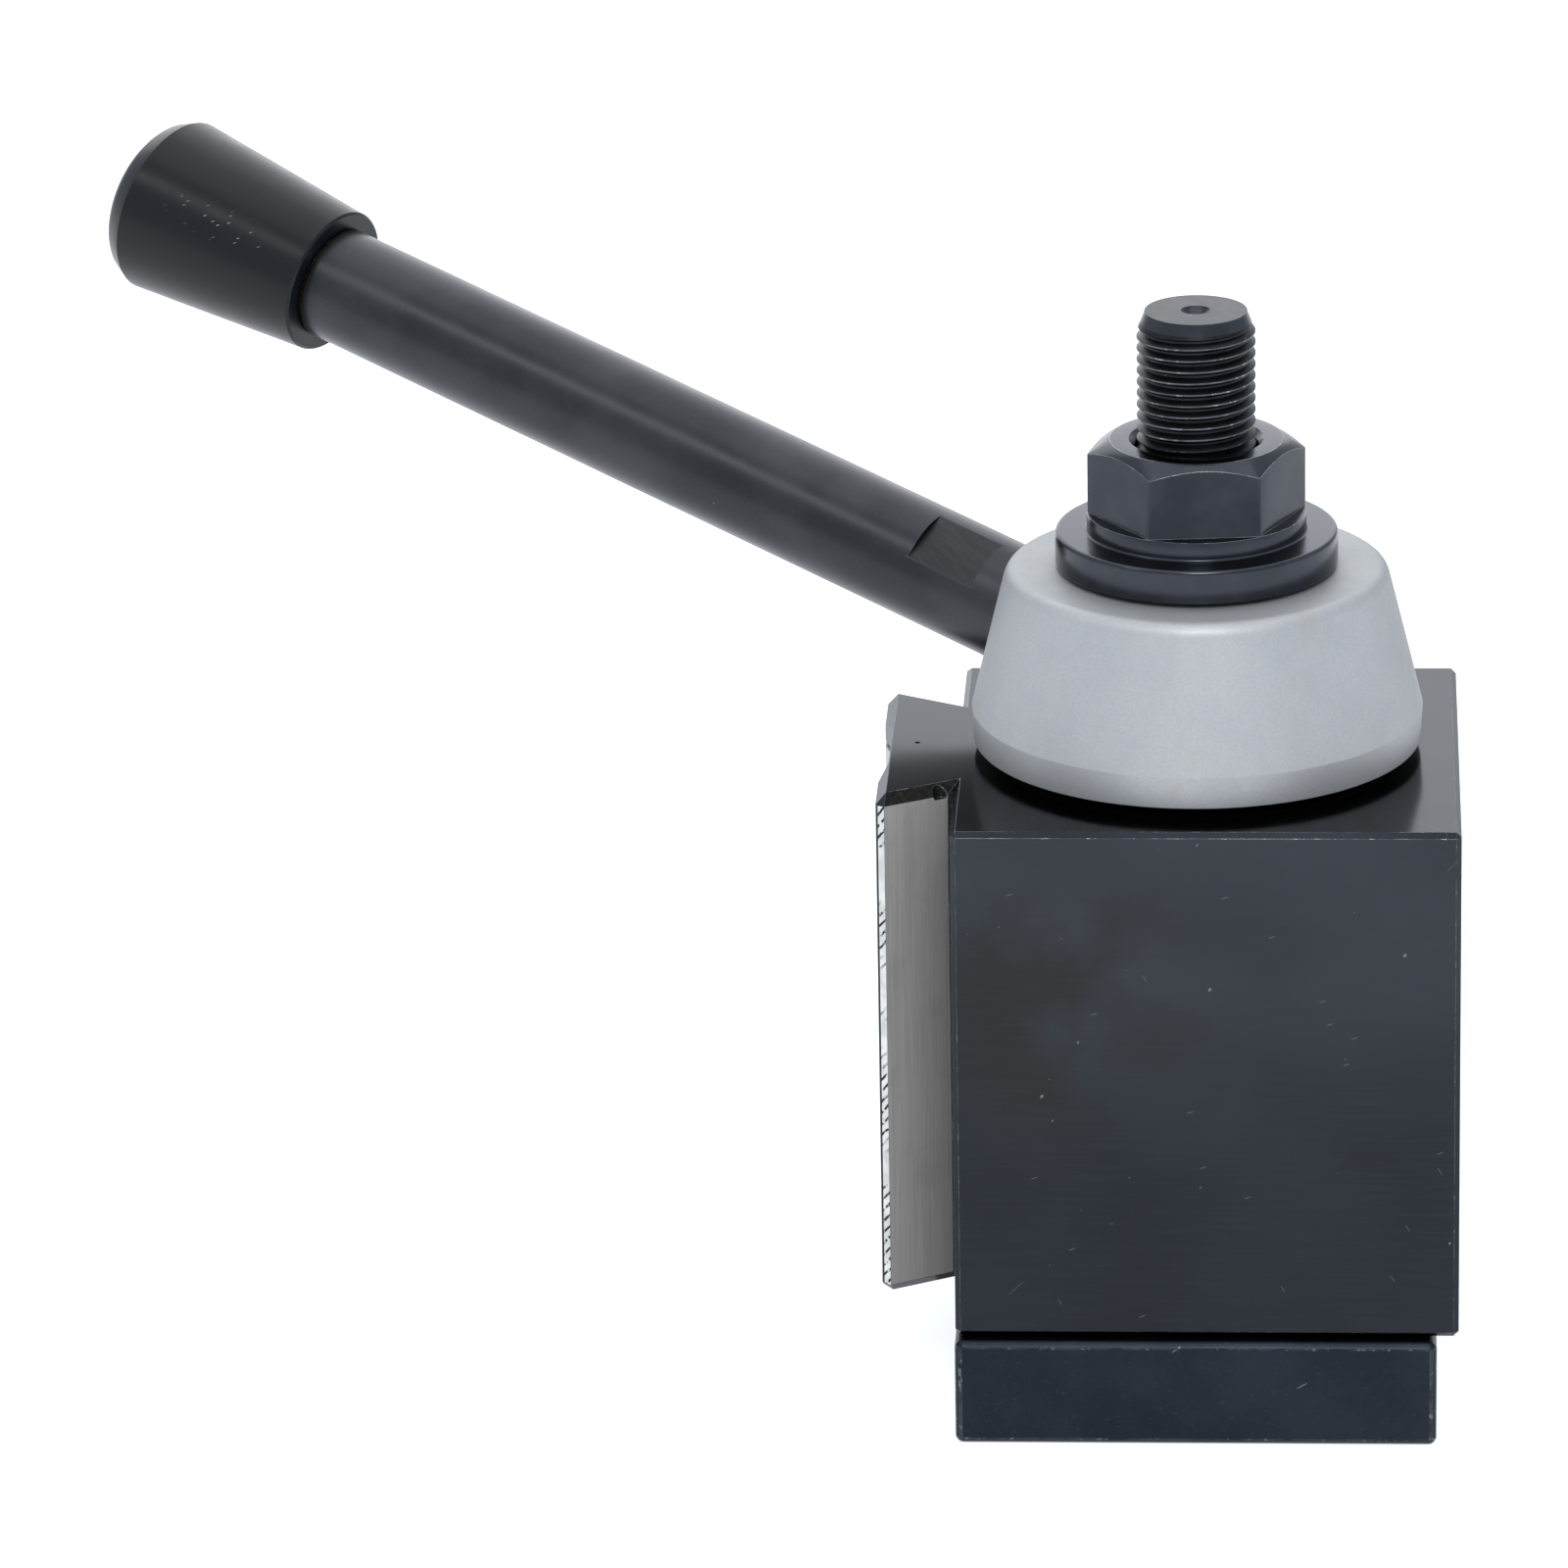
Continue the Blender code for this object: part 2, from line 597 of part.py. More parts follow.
def make_hub_screw(number, group, cutters, finish):
    head_bottom = hub_screw_head_bottom()
    head_top = head_bottom + HUB_SCREW_HEAD
    profile = [(0, head_top),
               (HUB_SCREW_HEAD_RADIUS, head_top),
               (HUB_SCREW_HEAD_RADIUS, head_bottom),
               (HUB_SCREW_RADIUS, head_bottom),
               (HUB_SCREW_RADIUS, hub_screw_bottom()),
               (0, hub_screw_bottom())]
    screw = turned(f"hub_screw_{number}", profile, group, finish, sides=SMALL_ROUND)
    socket = rod(f"hex_socket_{number}", HEX_SOCKET, head_top - HUB_SCREW_HEAD / 2, head_top + PAST,
                 cutters, sides=6)
    screw.location = hub_screw_place(number)
    socket.location = hub_screw_place(number)
    combine(screw, as_cutter(socket))
    return screw


def hub_profile():
    shoulder_bottom = HUB_TOP_HEIGHT - HUB_SHOULDER
    slope = (HUB_BAND_RADIUS - HUB_SHOULDER_RADIUS) / (HUB_TOP - HUB_SHOULDER - HUB_BAND_TOP)
    lean = math.atan(slope)
    profile = []
    for step in range(ARC_STEPS + 1):
        share = step / ARC_STEPS
        angle = math.radians(90) - share * (math.radians(90) - lean)
        radius = HUB_SHOULDER_RADIUS - HUB_SHOULDER * (math.cos(lean) - math.cos(angle))
        height = shoulder_bottom + HUB_SHOULDER * (math.sin(angle) - math.sin(lean))
        profile.append((radius, height))
    rise = HUB_TOP_HEIGHT - profile[0][1]
    profile = [(radius, height + rise) for radius, height in profile]
    profile.append((HUB_BAND_RADIUS, BLOCK_TOP + HUB_BAND_TOP))
    profile.append((HUB_BOTTOM_RADIUS, BLOCK_TOP + HUB_BOTTOM))
    profile.append((HUB_SPIGOT_RADIUS, BLOCK_TOP + HUB_BOTTOM))
    profile.append((HUB_SPIGOT_RADIUS, SPIGOT_BOTTOM))
    profile.append((SCREW_JOURNAL_RADIUS + GAP, SPIGOT_BOTTOM))
    profile.append((SCREW_JOURNAL_RADIUS + GAP, HUB_WEB_BOTTOM))
    profile.append((SCREW_BORE_RADIUS, HUB_WEB_BOTTOM))
    profile.append((SCREW_BORE_RADIUS, HUB_TOP_HEIGHT))
    return profile


def lever_turn():
    flat = math.cos(LEVER_RISE)
    along = Vector((-math.cos(LEVER_AZIMUTH) * flat, math.sin(LEVER_AZIMUTH) * flat, math.sin(LEVER_RISE)))
    return along.to_track_quat("Z", "Y").to_euler()


def on_lever(piece):
    piece.location = (0, 0, BLOCK_TOP + LEVER_CROSSING)
    piece.rotation_euler = lever_turn()
    return piece


def make_hub(group, cutters, finish):
    hub = turned("clamp_hub", hub_profile(), group, finish, sides=HUB_ROUND)
    socket_floor = LEVER_SEAT - LEVER_THREAD - 2 * GAP
    thread_hole_radius = LEVER_THREAD_RADIUS + GAP
    past_hub = LEVER_SEAT + HUB_BAND_RADIUS
    socket_profile = [(0, past_hub),
                      (LEVER_RADIUS + GAP, past_hub),
                      (LEVER_RADIUS + GAP, LEVER_SEAT - GAP),
                      (thread_hole_radius, LEVER_SEAT - GAP),
                      (thread_hole_radius, socket_floor),
                      (0, socket_floor)]
    combine(hub, as_cutter(on_lever(turned("lever_socket", socket_profile, cutters))))
    head_bottom = hub_screw_head_bottom() - GAP
    for number in range(1, HUB_SCREW_COUNT + 1):
        profile = [(0, HUB_TOP_HEIGHT + PAST),
                   (HUB_SCREW_HEAD_RADIUS + GAP, HUB_TOP_HEIGHT + PAST),
                   (HUB_SCREW_HEAD_RADIUS + GAP, head_bottom),
                   (HUB_SCREW_RADIUS + GAP, head_bottom),
                   (HUB_SCREW_RADIUS + GAP, HUB_WEB_BOTTOM - PAST),
                   (0, HUB_WEB_BOTTOM - PAST)]
        hole = turned(f"hub_screw_hole_{number}", profile, cutters, sides=SMALL_ROUND)
        hole.location = hub_screw_place(number)
        combine(hub, as_cutter(hole))
    return hub


def make_lever(group, cutters, finish):
    profile = [(0, LEVER_END + KNOB_STUD),
               (KNOB_STUD_RADIUS - LEVER_CHAMFER, LEVER_END + KNOB_STUD),
               (KNOB_STUD_RADIUS, LEVER_END + KNOB_STUD - LEVER_CHAMFER),
               (KNOB_STUD_RADIUS, LEVER_END),
               (LEVER_RADIUS, LEVER_END),
               (LEVER_RADIUS, LEVER_SEAT),
               (LEVER_THREAD_RADIUS, LEVER_SEAT),
               (LEVER_THREAD_RADIUS, LEVER_SEAT - LEVER_THREAD + LEVER_CHAMFER),
               (LEVER_THREAD_RADIUS - LEVER_CHAMFER, LEVER_SEAT - LEVER_THREAD),
               (0, LEVER_SEAT - LEVER_THREAD)]
    lever = on_lever(turned("lever_arm", profile, group, finish))
    for number, side in enumerate((0, math.pi), 1):
        low = (FLAT_DISTANCE, -2 * LEVER_RADIUS, FLAT_START)
        high = (2 * LEVER_RADIUS, 2 * LEVER_RADIUS, FLAT_START + FLAT_LENGTH)
        flat = box(f"wrench_flat_{number}", low, high, cutters)
        flat.data.transform(Matrix.Rotation(FLAT_TURN + side, 4, "Z"))
        combine(lever, as_cutter(on_lever(flat)))
    return lever


def make_knob(group, finish):
    start = LEVER_END + GAP
    end = start + KNOB_LENGTH
    shoulder = end - KNOB_RIM - KNOB_DOME
    rim_radius = KNOB_BIG_RADIUS - KNOB_RIM
    bore = KNOB_STUD_RADIUS + GAP + INSERT_WALL + GAP
    bore_end = start + KNOB_STUD + GAP
    profile = [(0, end), (rim_radius / 2, end - KNOB_DOME / 4), (rim_radius, end - KNOB_DOME)]
    for step in range(1, ARC_STEPS + 1):
        angle = math.radians(90) * (1 - step / ARC_STEPS)
        radius = rim_radius + KNOB_RIM * math.cos(angle)
        profile.append((radius, shoulder + KNOB_RIM * math.sin(angle)))
    profile += [(KNOB_SMALL_RADIUS, start), (bore, start), (bore, bore_end), (0, bore_end)]
    return on_lever(turned("lever_knob", profile, group, finish))


def make_insert(group, finish):
    start = LEVER_END + GAP
    inner = KNOB_STUD_RADIUS + GAP
    insert = ring("knob_insert", inner, inner + INSERT_WALL, start, start + KNOB_STUD - GAP, group, finish)
    return on_lever(insert)


def make_lift_ring(group, cutters, finish):
    inner = SCREW_RADIUS + GAP
    wall = inner + RING_WALL
    flange = CAVITY_RADIUS - GAP
    half = RING_HEIGHT / 2
    half_flange = RING_FLANGE / 2
    profile = [(wall, half),
               (wall, half_flange),
               (flange, half_flange),
               (flange, -half_flange),
               (wall, -half_flange),
               (wall, -half),
               (inner, -half),
               (inner, half)]
    lift = turned("lift_ring", profile, group, finish)
    lift.location.z = RING_CENTRE
    hole = rod("ring_pin_hole", GUIDE_PIN_RADIUS + GAP, RING_CENTRE - RING_HEIGHT,
               RING_CENTRE + RING_HEIGHT, cutters, sides=SMALL_ROUND)
    hole.location = guide_pin_place()
    combine(lift, as_cutter(hole))
    return lift


def make_guide_pin(group, finish):
    pin = rod("lift_ring_guide_pin", GUIDE_PIN_RADIUS, WEB_TOP - GUIDE_PIN_SEAT,
              GUIDE_PIN_TOP, group, finish, sides=SMALL_ROUND)
    pin.location = guide_pin_place()
    return pin


def make_bearing_ring(group, finish):
    inner = SCREW_JOURNAL_RADIUS + GAP
    profile = [(BEARING_RADIUS, BEARING_TOP),
               (BEARING_RADIUS, BEARING_LEDGE + GAP),
               (CAVITY_RADIUS - GAP, BEARING_LEDGE + GAP),
               (CAVITY_RADIUS - GAP, BEARING_BOTTOM),
               (inner, BEARING_BOTTOM),
               (inner, BEARING_TOP)]
    return turned("bearing_ring", profile, group, finish)


def make_snap_ring(group, cutters, finish):
    snap = ring("bearing_snap_ring", SNAP_RADIUS - SNAP_WIDTH, SNAP_RADIUS,
                SNAP_BOTTOM, SNAP_TOP, group, finish)
    half = SNAP_SPLIT / 2
    low = (-half, -CAVITY_RADIUS - PAST, SNAP_BOTTOM - PAST)
    split = box("snap_ring_split", low, (half, 0, SNAP_TOP + PAST), cutters)
    combine(snap, as_cutter(split))
    return snap


def make_washers(group, finish):
    upper = ring("upper_thrust_washer", SCREW_JOURNAL_RADIUS + GAP, HUB_SPIGOT_RADIUS,
                 BEARING_TOP + GAP, UPPER_WASHER_TOP, group, finish)
    lower = ring("lower_thrust_washer", SCREW_BORE_RADIUS, SCREW_RADIUS,
                 LOWER_WASHER_BOTTOM, LOWER_WASHER_BOTTOM + WASHER_THICKNESS, group, finish)
    return [upper, lower]


def make_seal(group, finish):
    mesh = bpy.data.meshes.new("hub_seal")
    shape = bmesh.new()
    bmesh.ops.create_circle(shape, segments=SEAL_SIDES, radius=SEAL_SECTION)
    shape.transform(Matrix.Translation((SEAL_RADIUS, 0, 0)) @ Matrix.Rotation(math.pi / 2, 4, "X"))
    shape.to_mesh(mesh)
    shape.free()
    seal = place("hub_seal", mesh, group, finish)
    turn_about_z(seal, ROUND)
    seal.location.z = BLOCK_TOP + HUB_BOTTOM / 2
    return seal


def make_flanged_nut(group, cutters, finish):
    bore = STUD_HOLE_RADIUS
    flange_top = NUT_BOTTOM + NUT_FLANGE
    collar_top = flange_top + NUT_COLLAR
    top = collar_top + NUT_HEX
    hex_radius = NUT_HEX_FLATS / math.sqrt(3)
    edge = NUT_FLANGE_CHAMFER
    profile = [(hex_radius, collar_top),
               (hex_radius, flange_top),
               (NUT_FLANGE_RADIUS - edge, flange_top),
               (NUT_FLANGE_RADIUS, flange_top - edge),
               (NUT_FLANGE_RADIUS, NUT_BOTTOM + edge),
               (NUT_FLANGE_RADIUS - edge, NUT_BOTTOM),
               (bore, NUT_BOTTOM),
               (bore, collar_top)]
    nut = turned("flanged_nut", profile, group, finish)
    drop = (hex_radius + PAST - NUT_TOP_RADIUS) * math.tan(NUT_TOP_CONE)
    envelope_profile = [(0, top),
                        (NUT_TOP_RADIUS, top),
                        (hex_radius + PAST, top - drop),
                        (hex_radius + PAST, flange_top),
                        (0, flange_top)]
    envelope = turned("nut_top_cone", envelope_profile, cutters)
    hexagon = rod("nut_hexagon", hex_radius, flange_top + NUT_COLLAR / 2, top + PAST, cutters, sides=6)
    hexagon.rotation_euler.z = NUT_TURN
    combine(hexagon, as_cutter(envelope), "INTERSECT")
    combine(nut, as_cutter(hexagon), "UNION")
    bore_profile = [(0, top + PAST),
                    (bore + NUT_COUNTERSINK + PAST, top + PAST),
                    (bore, top - NUT_COUNTERSINK),
                    (bore, NUT_BOTTOM - PAST),
                    (0, NUT_BOTTOM - PAST)]
    combine(nut, as_cutter(turned("nut_bore", bore_profile, cutters)))
    return nut


def axis_point(name, group, parent=None):
    """An empty on the stud's axis, which the pieces of one moving body hang on."""
    point = bpy.data.objects.new(name, None)
    point.parent = parent
    group.objects.link(point)
    return point


def hang(pieces, point):
    for piece in pieces:
        piece.parent = point


def build():
    clear_scene()
    group = new_group("lathe_tool_post")
    cutters = new_group("cutters")
    blued = new_material("blued steel", (0.055, 0.062, 0.072), 0.42, 0.75)
    dark_blued = new_material("dark blued steel", (0.032, 0.035, 0.04), 0.3, 0.75)
    satin = new_material("satin chromed steel", (0.52, 0.55, 0.57), 0.38, 0.9)
    ground = new_material("ground steel", (0.33, 0.33, 0.32), 0.3, 1.0)
    bronze = new_material("bearing bronze", (0.55, 0.36, 0.16), 0.35, 1.0)
    brass = new_material("brass", (0.7, 0.5, 0.2), 0.3, 1.0)
    gloss_black = new_material("black phenolic", (0.016, 0.017, 0.019), 0.16, 0.0)
    rubber = new_material("black rubber", (0.02, 0.02, 0.02), 0.7, 0.0)

    base_point = axis_point("base_point", group)
    post_point = axis_point("post_point", group, base_point)
    handle_point = axis_point("handle_point", group, post_point)
    lift_point = axis_point("lift_point", group, post_point)
    nut_point = axis_point("nut_point", group, base_point)

    hang([make_tnut(group, cutters, dark_blued), make_stud(group, dark_blued)], base_point)
    post = [make_block(group, cutters, blued),
            make_sleeve(group, ground),
            make_bearing_ring(group, ground),
            make_snap_ring(group, cutters, ground),
            make_guide_pin(group, ground),
            make_seal(group, rubber)]
    post += make_washers(group, bronze)
    hang(post, post_point)
    left_gib = make_gib("wedge_gib_left", LEFT_TURN, group, cutters, ground)
    rear_gib = make_gib("wedge_gib_rear", REAR_TURN, group, cutters, ground)
    hang([left_gib, rear_gib], post_point)
    hang([make_lift_ring(group, cutters, ground)], lift_point)
    handle = [make_hub(group, cutters, satin),
              make_drive_screw(group, cutters, ground),
              make_lever(group, cutters, dark_blued),
              make_knob(group, gloss_black),
              make_insert(group, brass)]
    for number in range(1, HUB_SCREW_COUNT + 1):
        handle.append(make_hub_screw(number, group, cutters, dark_blued))
    hang(handle, handle_point)
    hang([make_flanged_nut(group, cutters, dark_blued)], nut_point)


build()
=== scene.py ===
import math

import bmesh
import bpy
from mathutils import Matrix, Vector


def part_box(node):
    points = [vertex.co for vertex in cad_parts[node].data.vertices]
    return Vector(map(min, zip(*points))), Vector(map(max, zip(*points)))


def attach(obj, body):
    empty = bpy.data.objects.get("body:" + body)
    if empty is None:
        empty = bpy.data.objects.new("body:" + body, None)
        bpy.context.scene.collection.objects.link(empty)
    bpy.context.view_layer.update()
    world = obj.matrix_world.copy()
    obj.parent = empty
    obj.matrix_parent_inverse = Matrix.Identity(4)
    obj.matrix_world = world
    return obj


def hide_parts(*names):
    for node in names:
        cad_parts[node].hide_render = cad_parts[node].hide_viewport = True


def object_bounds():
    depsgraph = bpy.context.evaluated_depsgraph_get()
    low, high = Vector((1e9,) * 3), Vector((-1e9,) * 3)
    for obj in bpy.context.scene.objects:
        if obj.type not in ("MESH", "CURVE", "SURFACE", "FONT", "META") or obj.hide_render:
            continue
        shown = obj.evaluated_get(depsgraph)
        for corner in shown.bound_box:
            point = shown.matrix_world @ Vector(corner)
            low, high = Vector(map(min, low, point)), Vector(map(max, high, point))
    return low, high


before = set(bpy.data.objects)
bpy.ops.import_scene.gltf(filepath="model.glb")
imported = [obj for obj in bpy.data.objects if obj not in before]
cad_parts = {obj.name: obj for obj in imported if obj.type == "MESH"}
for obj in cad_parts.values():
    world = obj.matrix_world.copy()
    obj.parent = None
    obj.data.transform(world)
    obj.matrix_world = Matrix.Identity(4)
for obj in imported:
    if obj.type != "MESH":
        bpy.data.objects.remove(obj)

MM = 0.001
# the clearance that parts keep from each other, as in the CAD
GAP = 0.3 * MM
SCENE = bpy.context.scene
CAD_LOW, CAD_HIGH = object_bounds()

# Places read from the frame
BLOCK_LOW, BLOCK_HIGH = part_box("post_body")
BLOCK_TOP = BLOCK_HIGH.z
CREST = BLOCK_HIGH.y
HUB_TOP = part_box("clamp_hub")[1].z
STUD_LOW, STUD_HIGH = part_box("clamp_stud")
STUD_RADIUS = STUD_HIGH.x
NUT_LOW, NUT_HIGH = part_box("flanged_nut")
NUT_FLANGE_RADIUS = NUT_HIGH.x

# Block and dovetails
FACE = 36.4 * MM
OUTER_REACH = 29.0 * MM
STRIP_WIDTH = 1.9 * MM
FINE_EDGE = 0.13 * MM
FINE_EDGE_STEPS = 2
MARGIN = 0.45 * MM
TNUT_EDGE = 0.35 * MM
ROOF = BLOCK_TOP - 4.0 * MM
NOTCH_TOP_RADIUS = 1.75 * MM
NOTCH_FLOOR_RADIUS = 1.0 * MM
NOTCH_DEPTH = 2.1 * MM
ROOT_REACH = 1.5 * MM
NOTCH_PLACE = (-38.4 * MM, -19.2 * MM)
DENT_RADIUS = 0.42 * MM
DENT_DEPTH = 1.2 * MM
DENT_PLACE = (-42.7 * MM, 0.7 * MM)
STAIN_PLACE = (-21.0 * MM, BLOCK_LOW.y, BLOCK_TOP - 28.0 * MM)
STAIN_REACH = 30.0 * MM

# Hub
HUB_BOTTOM = BLOCK_TOP + 1.8 * MM
HUB_BAND_TOP = BLOCK_TOP + 6.8 * MM
HUB_BOTTOM_RADIUS = 34.0 * MM
HUB_BAND_RADIUS = 34.3 * MM
HUB_TOP_RADIUS = 28.85 * MM
HUB_SHOULDER_EASE = 2.0 * MM
HUB_EDGE_EASE = 0.15 * MM
HUB_SPIGOT_RADIUS = 24.0 * MM
HUB_SPIGOT_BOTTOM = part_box("upper_thrust_washer")[1].z + GAP
HUB_WEB_BOTTOM = HUB_TOP - 9.1 * MM
JOURNAL_BORE_RADIUS = 20.3 * MM
SLEEVE_BORE_RADIUS = 12.3 * MM

# Lever and knob
LEVER_AZIMUTH = math.radians(32)
LEVER_RISE = math.radians(13.37)
LEVER_CROSSING = BLOCK_TOP + 8.58 * MM
LEVER_RADIUS = 9.11 * MM
LEVER_SEAT = 31.4 * MM
LEVER_THREAD_RADIUS = 7.9 * MM
LEVER_THREAD = 8.8 * MM
LEVER_END = 168.2 * MM
LEVER_EDGE = 0.8 * MM
LEVER_EASE = 0.3 * MM
FLAT_START = 37.8 * MM
FLAT_LENGTH = 11.9 * MM
FLAT_DISTANCE = 8.0 * MM
FLAT_TURN = math.radians(54.6)
KNOB_LENGTH = 39.5 * MM
KNOB_SMALL_RADIUS = 11.8 * MM
KNOB_BIG_RADIUS = 14.36 * MM
KNOB_RIM = 5.8 * MM
KNOB_DOME = 1.5 * MM
KNOB_EDGE = 0.35 * MM
KNOB_RIM_TURN = math.radians(52)
KNOB_CREASE = 1.0 * MM
KNOB_STUD_RADIUS = 5.9 * MM
KNOB_STUD = 23.0 * MM
INSERT_RADIUS = 8.6 * MM
# the knob's scratches are painted bright, as painted glints, only in a band along its highlight line, which
# faces this way
HIGHLIGHT_WAY = Vector((-0.35, -0.79, 0.5))
GLINT_STRETCH = 4.5
GLINT_REACH = 3.6 * MM
GLINT_SHARE = 0.45

# Stud and nut
THREAD_PITCH = 1.77 * MM
THREAD_DEPTH = 0.95 * MM
THREAD_CREST = 0.22 * MM
THREAD_ROOT = 0.3 * MM
THREAD_INSET = 0.02 * MM
CREST_REACH = 0.06 * MM
STUD_END_CHAMFER = 1.3 * MM
STUD_END_TAPER = 3.2 * MM
STUD_END_STEP = 0.6 * MM
STUD_END_LIP = 0.02 * MM
CENTRE_DRILL_RADIUS = 2.25 * MM
CENTRE_DRILL_DEPTH = 2.4 * MM
NUT_FLANGE = 5.3 * MM
NUT_COLLAR = 2.9 * MM
NUT_FLATS = 28.8 * MM
NUT_TOP_RADIUS = 13.1 * MM
NUT_TOP_CONE = math.radians(31.5)
NUT_TURN = math.radians(5.75)
NUT_BORE_RADIUS = 9.3 * MM
NUT_COUNTERSINK = 0.9 * MM
NUT_CORNER = 0.35 * MM
NUT_EDGE = 0.22 * MM
NUT_COLLAR_EASE = 0.4 * MM
NUT_FLANGE_EASE = 0.75 * MM
NUT_FOOT_EASE = 0.5 * MM

# Modelling
PAST = 4.0 * MM
MERGE = 0.004 * MM
ROUND = 128
THREAD_ROUND = 72
SHANK_ROUND = 64
DRILL_ROUND = 48
HOLE_ROUND = 32
DENT_ROUND = 16
EASE_STEPS = 10
CORNER_STEPS = 3
KNOB_RIM_STEPS = 8
FLAT_ANGLE = math.radians(1)
SHARP_ANGLE = math.radians(20)
# how far a wall or a top may turn from upright or level and still count as one
UPRIGHT = 0.05
LEVEL = 0.9
# the dovetails' flanks and the strips on them stand at 60 degrees to the block's side
FLANK_LEAN = 0.5
LEAN_PLAY = 0.1
# the rough chamfer over a flank faces up and a little in
CHAMFER_RISE = 0.6
CHAMFER_LEAN = (-0.5, -0.2)
# past this a facet of a rounded edge belongs to the top or the underside
EDGE_RISE = 0.3
# the lever's flats face exactly their own way
ON_FLAT = 0.9999
SMOOTH = 35


# Shapes

def eased(corners):
    """A profile from (radius, height, ease) corners, each rounded by a curve that starts its ease away."""
    points = []
    count = len(corners)
    for number, (radius, height, ease) in enumerate(corners):
        corner = Vector((radius, height))
        if not ease:
            points.append((radius, height))
            continue
        before = Vector(corners[number - 1][:2]) - corner
        after = Vector(corners[(number + 1) % count][:2]) - corner
        start = corner + before.normalized() * ease
        end = corner + after.normalized() * ease
        for step in range(EASE_STEPS + 1):
            share = step / EASE_STEPS
            bent = start * (1 - share) ** 2 + corner * 2 * share * (1 - share) + end * share ** 2
            points.append((bent.x, bent.y))
    return points


def spun(profile, steps=ROUND):
    """Turns (radius, height) points about Z. A profile that starts off the axis closes on itself."""
    shape = bmesh.new()
    points = [shape.verts.new((radius, 0, height)) for radius, height in profile]
    followers = points[1:]
    if profile[0][0] > 0:
        followers = points[1:] + points[:1]
    edges = [shape.edges.new(pair) for pair in zip(points, followers)]
    bmesh.ops.spin(shape, geom=points + edges, cent=(0, 0, 0), axis=(0, 0, 1), angle=math.tau,
                   steps=steps, use_merge=True)
    bmesh.ops.remove_doubles(shape, verts=shape.verts, dist=MERGE)
    bmesh.ops.recalc_face_normals(shape, faces=shape.faces)
    return shape


def rod(radius, bottom, top, steps=ROUND):
    return spun([(0, top), (radius, top), (radius, bottom), (0, bottom)], steps)


def bar(low, high):
    """A box between two corners."""
    shape = bmesh.new()
    middle = (Vector(low) + Vector(high)) / 2
    size = Vector(high) - Vector(low)
    bmesh.ops.create_cube(shape, size=1, matrix=Matrix.Translation(middle) @ Matrix.Diagonal((*size, 1)))
    return shape


def along_lever():
    """The lever's frame: its Z runs out along the lever from the stud's axis."""
    level = math.cos(LEVER_RISE)
    way = Vector((-math.cos(LEVER_AZIMUTH) * level, math.sin(LEVER_AZIMUTH) * level, math.sin(LEVER_RISE)))
    return Matrix.Translation((0, 0, LEVER_CROSSING)) @ way.to_track_quat("Z", "Y").to_matrix().to_4x4()


def loose_object(name, shape):
    mesh = bpy.data.meshes.new(name)
    shape.to_mesh(mesh)
    shape.free()
    made = bpy.data.objects.new(name, mesh)
    SCENE.collection.objects.link(made)
    return made


def combined(shape, *steps):
    """The shape after Boolean steps, each an operation and another shape."""
    made = loose_object("made", shape)
    tools = []
    for number, (operation, tool) in enumerate(steps):
        other = loose_object(f"tool_{number}", tool)
        step = made.modifiers.new(other.name, "BOOLEAN")
        step.operation = operation
        step.solver = "EXACT"
        step.object = other
        tools.append(other)
    bpy.context.view_layer.update()
    settled = bpy.data.meshes.new_from_object(made.evaluated_get(bpy.context.evaluated_depsgraph_get()))
    result = bmesh.new()
    result.from_mesh(settled)
    for used in [made] + tools:
        bpy.data.objects.remove(used, do_unlink=True)
    bmesh.ops.remove_doubles(result, verts=result.verts, dist=MERGE)
    return result


def cad_copy(node):
    """A merged copy of a CAD node, with its flat faces whole again."""
    shape = bmesh.new()
    shape.from_mesh(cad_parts[node].data)
    bmesh.ops.remove_doubles(shape, verts=shape.verts, dist=MERGE)
    bmesh.ops.dissolve_limit(shape, angle_limit=FLAT_ANGLE, verts=shape.verts, edges=shape.edges)
    for face in shape.faces:
        face.material_index = 0
    return shape


def fine_edges(shape, width=FINE_EDGE, reach=OUTER_REACH, finish=0):
    """Rounds the sharp edges that lie out past a reach from the stud's axis."""
    sharp = []
    for edge in shape.edges:
        middle = (edge.verts[0].co + edge.verts[1].co) / 2
        outside = math.hypot(middle.x, middle.y) > reach
        if outside and edge.is_manifold and edge.calc_face_angle() > SHARP_ANGLE:
            sharp.append(edge)
    made = bmesh.ops.bevel(shape, geom=sharp, offset=width, segments=FINE_EDGE_STEPS, profile=0.5,
                           affect="EDGES", clamp_overlap=True, material=-1)
    for face in made["faces"]:
        face.material_index = finish


def new_piece(name, shape, body, slot, finishes, *nodes, smooth=SMOOTH):
    """Makes a shape a piece that rides on a body and stands for CAD nodes. Its faces stay flat with a smooth
    angle of nought."""
    piece = loose_object(name, shape)
    for finish in finishes:
        piece.data.materials.append(finish)
    if smooth:
        piece.data.shade_smooth()
        piece.data.set_sharp_from_angle(angle=math.radians(smooth))
    else:
        piece.data.shade_flat()
    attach(piece, body)
    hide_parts(*nodes)
    return piece


# Finishes

# a frame seen along the level diagonal, so that its marks fall on the front and on the sides alike
DIAGONAL = math.sqrt(0.5)
UPRIGHT_SIDES = Matrix(((DIAGONAL, 0, DIAGONAL), (DIAGONAL, 0, -DIAGONAL), (0, 1, 0)))
# a wave texture at scale 1 repeats after a tenth of pi
WAVE_PERIOD = math.pi / 10
# nearly all of a noise lies between these values
NOISE_LOW = 0.3
NOISE_HIGH = 0.7
# the share of a mark's reach at which it has its full strength
NICK_CORE = 0.6
SCRATCH_CORE = 0.5
PLACE_CORE = 0.3
# how sharply a cell's random value decides whether it keeps its mark
KEPT_STEP = 0.02
